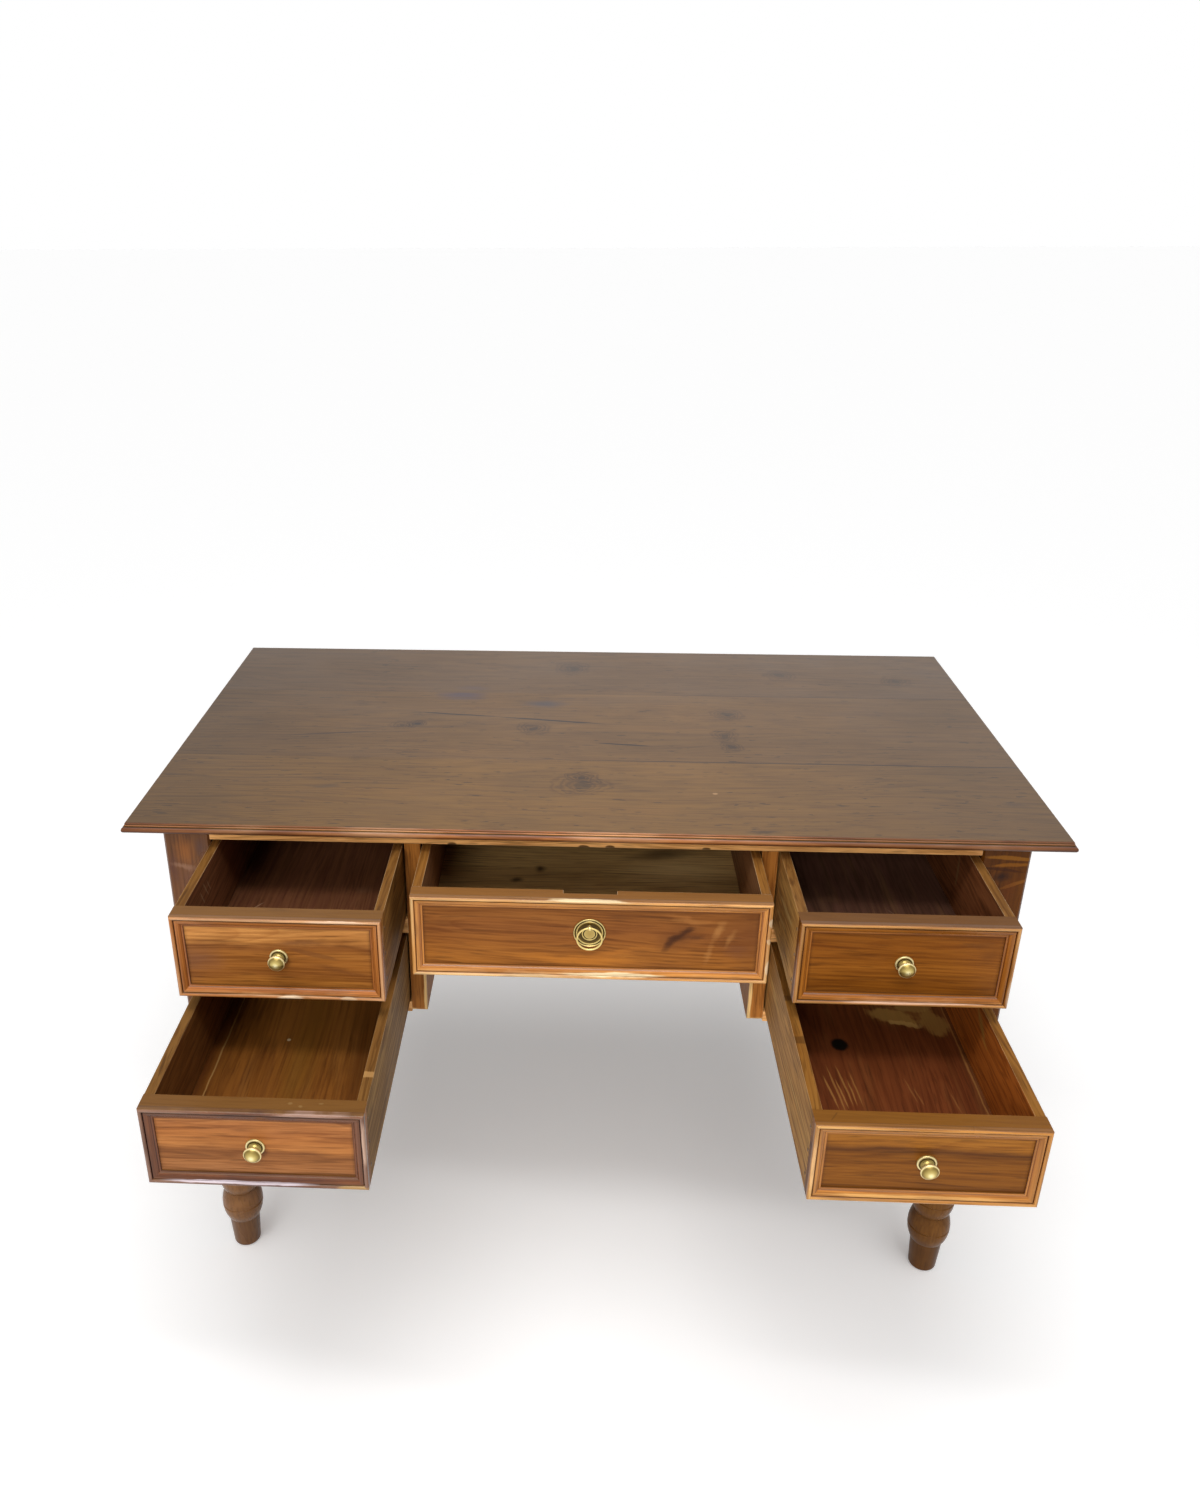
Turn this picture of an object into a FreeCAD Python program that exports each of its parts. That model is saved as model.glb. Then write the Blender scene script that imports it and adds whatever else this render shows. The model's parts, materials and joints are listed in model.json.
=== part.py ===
import FreeCAD, Part
import math
import os
import re

import Sketcher

# A writing desk: a thin moulded top of three boards over a case with two drawers in each pedestal,
# a wide drawer over the knee space between them, and four bobbin-turned legs.
# Millimetres, +X to the right, +Y to the back, +Z up. The origin is on the floor, midway between the feet.
# The drawers stand open: each ..._out size is how far a drawer's rim stands ahead of the case.

SIZES = {
    # Heights of the case, from the floor up
    "leg_height": 475,
    "bottom_rail": 17,
    "lower_opening": 113,
    "mid_rail": 23,
    "upper_opening": 116,
    "top_rail": 22,
    "top_thick": 14,
    # Widths, from the middle outwards
    "centre_opening": 444,
    "divider_thick": 21,
    "pedestal_opening": 258,
    "post_side": 62,
    "side_overhang": 43,
    # Depths, from the front face of the case
    "carcass_depth": 614,
    "front_overhang": 29,
    "back_overhang": 29,
    "front_board": 216,
    "middle_board": 251,
    # Moulded edge of the top: a round nose under two small beads with a quirk below each
    "edge_quirk": 0.7,
    "low_bead": 1.7,
    "top_bead": 2,
    "low_inset": 3.2,
    "top_inset": 4.2,
    # Turned legs
    "foot_height": 55,
    "foot_radius": 20.5,
    "foot_top_radius": 23.5,
    "foot_round": 4,
    "neck_radius": 24.5,
    "bulb_radius": 31,
    "ring_half": 1.6,
    "ring_depth": 1.6,
    "block_drop": 35,
    "post_chamfer": 3,
    # Joinery of the case
    "tenon_length": 25,
    "tenon_thick": 8,
    "tenon_width": 40,
    "stub_length": 8,
    "panel_thick": 16,
    "panel_inset": 8,
    "panel_groove": 10,
    "back_thick": 15,
    "back_inset": 8,
    "divider_round": 8,
    "runner_width": 18,
    "guide_height": 20,
    # Drawer boxes and their running gaps
    "side_gap": 2.5,
    "upper_head_gap": 2,
    "lower_head_gap": 5.5,
    "floor_gap": 0.3,
    "stop_gap": 0.5,
    "front_thick": 19,
    "side_thick": 12,
    "side_drop": 1,
    "rear_thick": 12,
    "rear_drop": 8,
    "rabbet_depth": 9,
    "bottom_thick": 7,
    "bottom_lift": 8,
    "bottom_groove": 5,
    "lock_length": 65,
    "lock_depth": 8,
    "lock_height": 45,
    # Moulding planted on the drawer fronts: bead, quirk, ovolo and fillet, from the rim inwards
    "moulding_width": 15,
    "moulding_rise": 7,
    "bead_radius": 2.5,
    "quirk_width": 0.9,
    "quirk_depth": 1,
    "ovolo_rise": 5.2,
    "ovolo_radius": 8,
    "fillet_width": 2.2,
    "fillet_rise": 1.6,
    "waste": 1,
    # Knobs; knob_sweep is the radius of their two hollow curves as a share of each curve's run
    "rosette_radius": 11.2,
    "rosette_rim": 1.5,
    "rosette_step": 3.6,
    "rosette_quirk": 0.75,
    "rosette_thick": 3.8,
    "shank_radius": 2.5,
    "shank_length": 14,
    "shank_gap": 0.1,
    "knob_neck": 4.4,
    "knob_reach": 9.2,
    "knob_radius": 10.3,
    "knob_rim": 2,
    "knob_flare": 4,
    "knob_sweep": 1.2,
    "knob_dome": 5,
    # Ring pull
    "plate_above_middle": 8,
    "plate_radius": 20,
    "plate_thick": 1.4,
    "plate_bead": 1.2,
    "boss_radius": 10,
    "boss_rise": 2.2,
    "button_radius": 7,
    "button_rise": 0.8,
    "eye_above_middle": 10,
    "eye_reach": 6.6,
    "eye_radius": 2.8,
    "eye_hole": 1.75,
    "eye_shank": 1.5,
    "ring_radius": 15.3,
    "wire_radius": 1.2,
    # How far each drawer stands open
    "upper_left_out": 185,
    "centre_out": 128,
    "upper_right_out": 166,
    "lower_left_out": 352,
    "lower_right_out": 343,
}
BOBBINS = 7

# Places that follow from the sizes
FRONT = "(-carcass_depth / 2)"
REAR = "(carcass_depth / 2)"
KNEE = "(centre_opening / 2)"
DIVIDER_OUT = "(centre_opening / 2 + divider_thick)"
POST_IN = f"({DIVIDER_OUT} + pedestal_opening)"
CASE_HALF = f"({POST_IN} + post_side)"
PANEL_IN = f"({CASE_HALF} - panel_inset - panel_thick)"
RAIL_BACK = f"({FRONT} + post_side)"
BACK_FACE = f"({REAR} - back_inset - back_thick)"
LOWER_FLOOR = "(leg_height + bottom_rail)"
LOWER_HEAD = f"({LOWER_FLOOR} + lower_opening)"
UPPER_FLOOR = f"({LOWER_HEAD} + mid_rail)"
UPPER_HEAD = f"({UPPER_FLOOR} + upper_opening)"
UNDER_TOP = f"({UPPER_HEAD} + top_rail)"
TOP_HALF = f"({CASE_HALF} + side_overhang)"
TOP_FRONT = f"({FRONT} - front_overhang)"
TOP_REAR = f"({REAR} + back_overhang)"

X_AXIS = FreeCAD.Vector(1, 0, 0)
Y_AXIS = FreeCAD.Vector(0, 1, 0)

doc = FreeCAD.newDocument("writing_desk")
sheet = doc.addObject("Spreadsheet::Sheet", "sizes")
for row, (alias, size) in enumerate(SIZES.items(), start=1):
    sheet.set(f"A{row}", alias)
    sheet.set(f"B{row}", str(size))
    sheet.setAlias(f"B{row}", alias)
doc.recompute()
nodes = []


def value(expression):
    """The number that an expression of the sizes comes to now."""
    return float(sheet.evalExpression(expression))


def tie(expression):
    """The same expression with each size read from its cell."""
    return re.sub(r"[a-z_]+", lambda word: f"sizes.{word[0]}" if word[0] in SIZES else word[0], expression)


def place(item, x="0", y="0", z="0", turn=None):
    """Put an object at a point given by expressions, turned by a (axis, degrees) pair."""
    if turn:
        item.Placement = FreeCAD.Placement(FreeCAD.Vector(), FreeCAD.Rotation(*turn))
    for axis, expression in zip("xyz", (x, y, z)):
        item.setExpression(f"Placement.Base.{axis}", tie(expression))
    return item


def node(name, item):
    """Keep an object as a sub-part of the desk."""
    item.Label = name
    nodes.append(item)
    return item


def box(name, x, y, z):
    """A block between three (low, high) pairs of expressions."""
    block = doc.addObject("Part::Box", name)
    for side, (low, high) in zip(("Length", "Width", "Height"), (x, y, z)):
        block.setExpression(side, tie(f"({high}) - ({low})"))
    return place(block, x[0], y[0], z[0])


def rod(name, radius, length, x, y, z):
    """A cylinder from a point towards the front."""
    cylinder = doc.addObject("Part::Cylinder", name)
    cylinder.setExpression("Radius", tie(radius))
    cylinder.setExpression("Height", tie(length))
    return place(cylinder, x, y, z, (X_AXIS, 90))


def fuse(name, pieces):
    joined = doc.addObject("Part::MultiFuse", name)
    joined.Shapes = pieces
    return joined


def cut(name, base, tools):
    """An object with the room of its neighbours taken out of it."""
    result = doc.addObject("Part::Cut", name)
    result.Base = base
    result.Tool = tools[0] if len(tools) == 1 else fuse(f"{name}_room", tools)
    return result


def common(name, base, tool):
    result = doc.addObject("Part::Common", name)
    result.Base = base
    result.Tool = tool
    return result


def group(name, pieces):
    """Separate solids that share a node."""
    together = doc.addObject("Part::Compound", name)
    together.Links = pieces
    return together


def mirrored(name, source):
    """The right-hand twin of a left-hand piece."""
    twin = doc.addObject("Part::Mirroring", name)
    twin.Source = source
    twin.Normal = X_AXIS
    return twin


def arc(start, end, radius, turn):
    """The shorter arc between two points, turning left (1) or right (-1)."""
    chord = end - start
    rise = math.sqrt(radius**2 - (chord.Length / 2) ** 2)
    left = FreeCAD.Vector(-chord.y, chord.x, 0).normalize()
    centre = (start + end) / 2 + left * (turn * rise)
    first, last = (start, end) if turn > 0 else (end, start)
    angles = [math.atan2(point.y - centre.y, point.x - centre.x) for point in (first, last)]
    return Part.ArcOfCircle(Part.Circle(centre, FreeCAD.Vector(0, 0, 1), radius), *angles)


def outline(body, name, plane, corners, lift="0"):
    """A closed sketch on one of a body's origin planes.

    A corner is (x, y), reached by a line, or (x, y, radius, turn), reached by an arc.
    """
    sketch = body.newObject("Sketcher::SketchObject", name)
    support = next(item for item in body.Origin.OriginFeatures if item.Role == plane)
    sketch.AttachmentSupport = (support, [""])
    sketch.MapMode = "FlatFace"
    sketch.setExpression("AttachmentOffset.Base.z", tie(lift))
    points = [FreeCAD.Vector(value(corner[0]), value(corner[1]), 0) for corner in corners]
    ends = []
    for number, corner in enumerate(corners):
        start, end = points[number - 1], points[number]
        if len(corner) == 2:
            sketch.addGeometry(Part.LineSegment(start, end))
            ends.append((1, 2))
        else:
            sketch.addGeometry(arc(start, end, value(corner[2]), corner[3]))
            ends.append((1, 2) if corner[3] > 0 else (2, 1))
    for number in range(len(corners)):
        follower = (number + 1) % len(corners)
        joint = ("Coincident", number, ends[number][1], follower, ends[follower][0])
        sketch.addConstraint(Sketcher.Constraint(*joint))
    for number, corner in enumerate(corners):
        end = ends[number][1]
        for kind, axis, expression in (("DistanceX", -2, corner[0]), ("DistanceY", -1, corner[1])):
            if expression == "0":
                sketch.addConstraint(Sketcher.Constraint("PointOnObject", number, end, axis))
            else:
                size = Sketcher.Constraint(kind, -1, 1, number, end, value(expression))
                sketch.setExpression(f"Constraints[{sketch.addConstraint(size)}]", tie(expression))
        if len(corner) > 2:
            size = Sketcher.Constraint("Radius", number, value(corner[2]))
            sketch.setExpression(f"Constraints[{sketch.addConstraint(size)}]", tie(corner[2]))
    return sketch


def back_along(corners):
    """The same stretch of an outline, followed from its last corner to its first."""
    steps = range(len(corners) - 1, 0, -1)
    return [corners[-1][:2]] + [(*corners[step - 1][:2], *corners[step][2:]) for step in steps]


def new_body(name):
    return doc.addObject("PartDesign::Body", name)


def pad(body, sketch, length, side="One side"):
    feature = body.newObject("PartDesign::Pad", f"{sketch.Name}_pad")
    feature.Profile = sketch
    feature.SideType = side
    feature.setExpression("Length", tie(length))
    return feature


def turned(name, corners):
    """A body turned about its own Z axis from half a section."""
    body = new_body(name)
    sketch = outline(body, f"{name}_section", "XZ_Plane", corners)
    feature = body.newObject("PartDesign::Revolution", f"{name}_turning")
    feature.Profile = sketch
    feature.ReferenceAxis = (sketch, ["V_Axis"])
    feature.Angle = 360
    return body


def moulded_edge(outer, inward):
    """The top's edge from its underside up; outer is the nose's line, inward the sign towards the middle."""
    nose = "((top_thick - 2 * edge_quirk - low_bead - top_bead) / 2)"
    low = f"(2 * {nose} + edge_quirk)"
    high = f"({low} + low_bead + edge_quirk)"

    def at(inset, height):
        return f"{outer} {inward} ({inset})", f"{UNDER_TOP} + {height}"

    return [
        at(nose, "0"),
        (*at("0", nose), nose, 1),
        (*at(nose, f"2 * {nose}"), nose, 1),
        at(nose, low),
        at("low_inset", low),
        (*at("low_inset + low_bead", f"{low} + low_bead"), "low_bead", 1),
        at("low_inset + low_bead", high),
        at("top_inset", high),
        (*at("top_inset + top_bead", "top_thick"), "top_bead", 1),
    ]


def make_top():
    """Three boards side by side, with one moulded edge all round."""
    across = new_body("top_across")
    section = moulded_edge(TOP_REAR, "-") + back_along(moulded_edge(TOP_FRONT, "+"))
    sketch = outline(across, "top_across_section", "YZ_Plane", section)
    pad(across, sketch, f"2 * ({TOP_HALF} + waste)", "Symmetric")
    along = new_body("top_along")
    section = moulded_edge(TOP_HALF, "-") + back_along(moulded_edge(f"-{TOP_HALF}", "+"))
    sketch = outline(along, "top_along_section", "XZ_Plane", section)
    pad(along, sketch, f"2 * ({TOP_REAR} + front_overhang + waste)", "Symmetric")
    slab = common("top_slab", across, along)
    first_seam = f"({TOP_FRONT} + front_board)"
    second_seam = f"({first_seam} + middle_board)"
    boards = {
        "top_board_front": (f"{TOP_FRONT} - waste", first_seam),
        "top_board_middle": (first_seam, second_seam),
        "top_board_back": (second_seam, f"{TOP_REAR} + waste"),
    }
    width = (f"-{TOP_HALF} - waste", f"{TOP_HALF} + waste")
    height = (f"{UNDER_TOP} - waste", f"{UNDER_TOP} + top_thick + waste")
    for name, depth in boards.items():
        node(name, common(name, slab, box(f"{name}_extent", width, depth, height)))


def rail(name, x, z, tenons):
    """A front rail with a tenon of the given length at its left and right end."""
    depth = (FRONT, RAIL_BACK)
    pieces = [box(f"{name}_bar", x, depth, z)]
    middle = f"({FRONT} + post_side / 2)"
    tenon_depth = (f"{middle} - tenon_width / 2", f"{middle} + tenon_width / 2")
    waist = f"(({z[0]}) + ({z[1]})) / 2"
    tenon_height = (f"{waist} - tenon_thick / 2", f"{waist} + tenon_thick / 2")
    spans = ((f"{x[0]} - {tenons[0]}", x[0]), (x[1], f"{x[1]} + {tenons[1]}"))
    for side, span in zip(("left", "right"), spans):
        pieces.append(box(f"{name}_tenon_{side}", span, tenon_depth, tenon_height))
    return node(name, fuse(name, pieces))


def leg_blank(name, y):
    """A square post that runs down into a bobbin-turned leg on a tapered foot."""
    block_bottom = "(leg_height - block_drop)"
    pitch = f"(({block_bottom} - foot_height) / {BOBBINS})"
    half_chord = f"({pitch} / 2 - ring_half)"
    bulge = "(bulb_radius - neck_radius)"
    sweep = f"(({half_chord}^2 + {bulge}^2) / (2 * {bulge}))"
    section = [
        ("0", "0"),
        ("foot_radius - foot_round", "0"),
        ("foot_radius", "foot_round", "foot_round", 1),
        ("foot_top_radius", "foot_height"),
        ("neck_radius", "foot_height"),
    ]
    for bobbin in range(BOBBINS):
        waist = f"(foot_height + {bobbin + 0.5} * {pitch})"
        section += [
            ("bulb_radius", f"{waist} - ring_half", sweep, 1),
            ("bulb_radius - ring_depth", waist),
            ("bulb_radius", f"{waist} + ring_half"),
            ("neck_radius", f"foot_height + {bobbin + 1} * {pitch}", sweep, 1),
        ]
    section.append(("0", block_bottom))
    body = turned(name, section)
    half = "post_side / 2"
    square = [(f"-{half}", f"-{half}"), (half, f"-{half}"), (half, half), (f"-{half}", half)]
    sketch = outline(body, f"{name}_square", "XY_Plane", square, lift=block_bottom)
    post = pad(body, sketch, f"{UNDER_TOP} - {block_bottom}")
    doc.recompute()
    arrises = []
    for number, edge in enumerate(post.Shape.Edges, start=1):
        upright = edge.BoundBox.ZLength > value(f"{UNDER_TOP} - {block_bottom}") - value("waste")
        if upright and isinstance(edge.Curve, Part.Line):
            arrises.append(f"Edge{number}")
    chamfer = body.newObject("PartDesign::Chamfer", f"{name}_chamfer")
    chamfer.Base = (post, arrises)
    chamfer.setExpression("Size", tie("post_chamfer"))
    return place(body, f"-{POST_IN} - post_side / 2", y)


def make_case():
    """Legs, panels, rails and runners; the right-hand pieces mirror the left-hand ones."""
    panel_depth = (f"{RAIL_BACK} - panel_groove", f"{REAR} - post_side + panel_groove")
    case_height = ("leg_height", UNDER_TOP)
    panel_x = (f"-{CASE_HALF} + panel_inset", f"-{PANEL_IN}")
    side_panel = node("side_panel_left", box("side_panel_left", panel_x, panel_depth, case_height))

    back_depth = (BACK_FACE, f"{BACK_FACE} + back_thick")
    seam = f"({KNEE} + divider_thick / 2)"
    back_x = (f"-{POST_IN} - panel_groove", f"-{seam}")
    back_left = node("back_panel_left", box("back_panel_left", back_x, back_depth, case_height))
    centre_height = (LOWER_HEAD, UNDER_TOP)
    centre_x = (f"-{seam}", seam)
    node("back_panel_centre", box("back_panel_centre", centre_x, back_depth, centre_height))

    top_rail = rail("top_rail", (f"-{POST_IN}", POST_IN), (UPPER_HEAD, UNDER_TOP), ("tenon_length", "tenon_length"))
    pedestal = (f"-{POST_IN}", f"-{DIVIDER_OUT}")
    ends = ("tenon_length", "stub_length")
    mid_left = rail("mid_rail_left", pedestal, (LOWER_HEAD, UPPER_FLOOR), ends)
    bottom_left = rail("bottom_rail_left", pedestal, ("leg_height", LOWER_FLOOR), ends)
    knee = (f"-{KNEE}", KNEE)
    mid_centre = rail("mid_rail_centre", knee, (LOWER_HEAD, UPPER_FLOOR), ("stub_length", "stub_length"))

    front_leg = leg_blank("leg_front_blank", f"{FRONT} + post_side / 2")
    housed = [side_panel, top_rail, mid_left, bottom_left]
    leg_front = node("leg_front_left", cut("leg_front_left", front_leg, housed))
    back_leg = leg_blank("leg_back_blank", f"{REAR} - post_side / 2")
    leg_back = node("leg_back_left", cut("leg_back_left", back_leg, [side_panel, back_left]))

    board = new_body("divider_board")
    side_view = [
        (BACK_FACE, "leg_height"),
        (BACK_FACE, UNDER_TOP),
        (FRONT, UNDER_TOP),
        (FRONT, "leg_height + divider_round"),
        (f"{FRONT} + divider_round", "leg_height", "divider_round", 1),
    ]
    pad(board, outline(board, "divider_side_view", "YZ_Plane", side_view), "divider_thick")
    place(board, f"-{DIVIDER_OUT}")
    housed = [top_rail, mid_left, bottom_left, mid_centre]
    divider = node("divider_left", cut("divider_left", board, housed))

    for left in (side_panel, back_left, mid_left, bottom_left, leg_front, leg_back, divider):
        name = left.Label.replace("left", "right")
        node(name, mirrored(name, left))


def make_runners():
    """Bearers under every drawer, guides beside the outer ones, and strips above the upper drawers."""
    between_posts = (RAIL_BACK, f"{REAR} - post_side")
    to_back = (RAIL_BACK, BACK_FACE)
    outer = (f"-{PANEL_IN}", f"-{POST_IN} + runner_width")
    inner = (f"-{DIVIDER_OUT} - runner_width", f"-{DIVIDER_OUT}")
    centre = (f"-{KNEE}", f"-{KNEE} + runner_width")
    runners = []
    levels = {"lower": ("leg_height", LOWER_FLOOR), "upper": (LOWER_HEAD, UPPER_FLOOR)}
    for level, height in levels.items():
        guide_height = (height[1], f"{height[1]} + guide_height")
        runners += [
            box(f"{level}_outer_bearer", outer, between_posts, height),
            box(f"{level}_guide", (f"-{PANEL_IN}", f"-{POST_IN}"), between_posts, guide_height),
            box(f"{level}_inner_bearer", inner, to_back, height),
        ]
    runners.append(box("centre_bearer", centre, to_back, levels["upper"]))
    head = (UPPER_HEAD, UNDER_TOP)
    kickers = [
        box("outer_kicker", outer, between_posts, head),
        box("inner_kicker", inner, to_back, head),
        box("centre_kicker", centre, to_back, head),
    ]
    for name, strips in (("drawer_runners", runners), ("drawer_kickers", kickers)):
        twins = [mirrored(f"{strip.Name}_right", strip) for strip in strips]
        node(name, group(name, strips + twins))


def moulding_strip(name, length, x, y, z, degrees):
    """One mitred strip; unturned it lies along X with its rim at the bottom and its face to the front."""
    body = new_body(name)
    half = f"({length}) / 2"
    face = [
        (f"-{half}", "0"),
        (half, "0"),
        (f"{half} - moulding_width", "moulding_width"),
        (f"-{half} + moulding_width", "moulding_width"),
    ]
    pad(body, outline(body, f"{name}_face", "XZ_Plane", face), "moulding_rise + waste")
    bead = "(moulding_rise - bead_radius)"
    quirk = "(2 * bead_radius + quirk_width)"
    clear = "-(moulding_rise + 2 * waste)"
    waste = [
        (clear, "-waste"),
        (f"-{bead}", "-waste"),
        (f"-{bead}", "0"),
        ("-moulding_rise", "bead_radius", "bead_radius", -1),
        (f"-{bead}", "2 * bead_radius", "bead_radius", -1),
        (f"-{bead} + quirk_depth", "2 * bead_radius"),
        (f"-{bead} + quirk_depth", quirk),
        ("-ovolo_rise", quirk),
        ("-fillet_rise", "moulding_width - fillet_width", "ovolo_radius", -1),
        ("-fillet_rise", "moulding_width + waste"),
        (clear, "moulding_width + waste"),
    ]
    pocket = body.newObject("PartDesign::Pocket", f"{name}_profile")
    pocket.Profile = outline(body, f"{name}_waste", "YZ_Plane", waste)
    pocket.Type = "ThroughAll"
    pocket.SideType = "Symmetric"
    return place(body, x, y, z, (Y_AXIS, degrees))


def make_knob(name, x, face, z):
    """A domed knob on a stepped rosette; the knob's shank goes into the drawer front."""
    bore = "(shank_radius + shank_gap)"
    inner = "(rosette_radius - rosette_step)"
    rosette = [
        (bore, "0"),
        ("rosette_radius", "0"),
        ("rosette_radius", "rosette_thick - 2 * rosette_rim"),
        ("rosette_radius - rosette_rim", "rosette_thick - rosette_rim", "rosette_rim", 1),
        (f"{inner} + rosette_quirk", "rosette_thick - rosette_rim"),
        (f"{inner} + rosette_quirk", "rosette_thick - rosette_rim - rosette_quirk"),
        (inner, "rosette_thick - rosette_rim - rosette_quirk"),
        (inner, "rosette_thick - rosette_rim / 2"),
        (f"{inner} - rosette_rim", "rosette_thick"),
        (bore, "rosette_thick"),
    ]
    flare = "(rosette_thick + knob_reach - knob_flare)"
    rim = "(rosette_thick + knob_reach)"
    shoulder = "(knob_radius - knob_rim / 2)"
    neck_chord = f"({flare} - rosette_thick)"
    dome = f"(({shoulder}^2 + knob_dome^2) / (2 * knob_dome))"
    knob = [
        ("0", "-shank_length"),
        ("shank_radius", "-shank_length"),
        ("shank_radius", "rosette_thick"),
        (f"{inner} - rosette_rim", "rosette_thick"),
        ("knob_neck", flare, f"knob_sweep * {neck_chord}", -1),
        ("knob_radius", rim, "knob_sweep * (knob_radius - knob_neck)", -1),
        ("knob_radius", f"{rim} + knob_rim / 2"),
        (shoulder, f"{rim} + knob_rim", "knob_rim / 2", 1),
        ("0", f"{rim} + knob_rim + knob_dome", dome, 1),
    ]
    pieces = []
    for piece, section in (("rosette", rosette), ("handle", knob)):
        pieces.append(place(turned(f"{name}_{piece}", section), x, face, z, (X_AXIS, 90)))
    node(name, group(name, pieces))
    depth = "shank_length + shank_gap"
    return [rod(f"{name}_bore", bore, depth, x, f"{face} + {depth}", z)]


def make_ring_pull(x, face, z):
    """A ring hanging from an eye on a ridged round plate."""
    collar = "(plate_thick + boss_rise)"
    ridge = "(plate_radius - 3 * plate_bead)"
    plate = [
        ("0", "0"),
        ("plate_radius", "0"),
        ("plate_radius", "plate_thick - plate_bead / 2"),
        ("plate_radius - plate_bead", "plate_thick + plate_bead / 2", "plate_bead", 1),
        ("plate_radius - 2 * plate_bead", "plate_thick - plate_bead / 2"),
        (ridge, "plate_thick + plate_bead / 2"),
        (f"{ridge} - plate_bead", "plate_thick"),
        ("boss_radius + plate_bead", "plate_thick"),
        ("boss_radius", f"{collar} - plate_bead"),
        ("boss_radius - plate_bead", collar, "plate_bead", 1),
        ("button_radius + plate_bead", collar),
        ("button_radius + plate_bead / 2", f"{collar} - plate_bead / 2"),
        ("button_radius", collar),
        ("0", f"{collar} + button_rise", "(button_radius^2 + button_rise^2) / (2 * button_rise)", 1),
    ]
    blank = place(turned("pull_plate_blank", plate), x, face, z, (X_AXIS, 90))
    eye_z = f"({z} + eye_above_middle)"
    eye_y = f"({face} - eye_reach)"
    bored = f"{face} + shank_length"
    socket = rod("pull_socket", "eye_shank + shank_gap", "shank_length + eye_reach", x, f"{bored} + shank_gap", eye_z)
    node("pull_plate", cut("pull_plate", blank, [socket]))
    shank = rod("pull_eye_shank", "eye_shank", "shank_length + eye_reach", x, bored, eye_z)
    ball = doc.addObject("Part::Sphere", "pull_eye_ball")
    ball.setExpression("Radius", tie("eye_radius"))
    place(ball, x, eye_y, eye_z)
    hole = doc.addObject("Part::Cylinder", "pull_eye_hole")
    hole.setExpression("Radius", tie("eye_hole"))
    hole.setExpression("Height", tie("2 * (eye_radius + waste)"))
    place(hole, f"{x} - eye_radius - waste", eye_y, eye_z, (Y_AXIS, 90))
    node("pull_eye", cut("pull_eye", fuse("pull_eye_blank", [shank, ball]), [hole]))
    ring = doc.addObject("Part::Torus", "pull_ring")
    ring.setExpression("Radius1", tie("ring_radius"))
    ring.setExpression("Radius2", tie("wire_radius"))
    node("pull_ring", place(ring, x, eye_y, f"{eye_z} - ring_radius", (X_AXIS, 90)))
    return [socket]


def make_drawer(name, left, opening, floor, opening_height, head_gap, out):
    """A rabbeted and grooved box behind a front with a mitred moulding round it."""
    low_x = f"({left} + side_gap)"
    high_x = f"({left} + {opening} - side_gap)"
    low_z = f"({floor} + floor_gap)"
    high_z = f"({floor} + {opening_height} - {head_gap})"
    middle_x = f"({left} + {opening} / 2)"
    middle_z = f"(({low_z} + {high_z}) / 2)"
    face = f"({FRONT} - {out} + moulding_rise)"
    inside = f"({face} + front_thick)"
    rear = f"({BACK_FACE} - {out} - stop_gap)"
    bottom_z = f"({low_z} + bottom_lift)"
    inner_x = (f"{low_x} + side_thick", f"{high_x} - side_thick")

    side_depth = (f"{inside} - rabbet_depth", rear)
    side_height = (low_z, f"{high_z} - side_drop")
    left_blank = box(f"{name}_left_blank", (low_x, inner_x[0]), side_depth, side_height)
    right_blank = box(f"{name}_right_blank", (inner_x[1], high_x), side_depth, side_height)
    bottom_x = (f"{inner_x[0]} - bottom_groove", f"{inner_x[1]} + bottom_groove")
    bottom_depth = (f"{inside} - bottom_groove", rear)
    bottom_height = (bottom_z, f"{bottom_z} + bottom_thick")
    bottom = node(f"{name}_bottom", box(f"{name}_bottom", bottom_x, bottom_depth, bottom_height))
    for side, blank in (("left", left_blank), ("right", right_blank)):
        node(f"{name}_side_{side}", cut(f"{name}_side_{side}", blank, [bottom]))
    rear_height = (bottom_height[1], f"{high_z} - side_drop - rear_drop")
    rear_depth = (f"{rear} - rear_thick", rear)
    node(f"{name}_back", box(f"{name}_back", inner_x, rear_depth, rear_height))

    if name == "centre_drawer":
        room = make_ring_pull(middle_x, face, f"({middle_z} + plate_above_middle)")
        lock_x = (f"{middle_x} - lock_length / 2", f"{middle_x} + lock_length / 2")
        lock_y = (f"{inside} - lock_depth", f"{inside} + waste")
        room.append(box("lock_recess", lock_x, lock_y, (f"{high_z} - lock_height", f"{high_z} + waste")))
    else:
        room = make_knob(f"{name}_knob", middle_x, face, middle_z)
    front_blank = box(f"{name}_front_blank", (low_x, high_x), (face, inside), (low_z, high_z))
    room += [left_blank, right_blank, bottom]
    node(f"{name}_front", cut(f"{name}_front", front_blank, room))

    width = f"({high_x} - {low_x})"
    height = f"({high_z} - {low_z})"
    strips = [
        moulding_strip(f"{name}_strip_bottom", width, middle_x, face, low_z, 0),
        moulding_strip(f"{name}_strip_left", height, low_x, face, middle_z, 90),
        moulding_strip(f"{name}_strip_top", width, middle_x, face, high_z, 180),
        moulding_strip(f"{name}_strip_right", height, high_x, face, middle_z, -90),
    ]
    node(f"{name}_moulding", group(f"{name}_moulding", strips))


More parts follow.
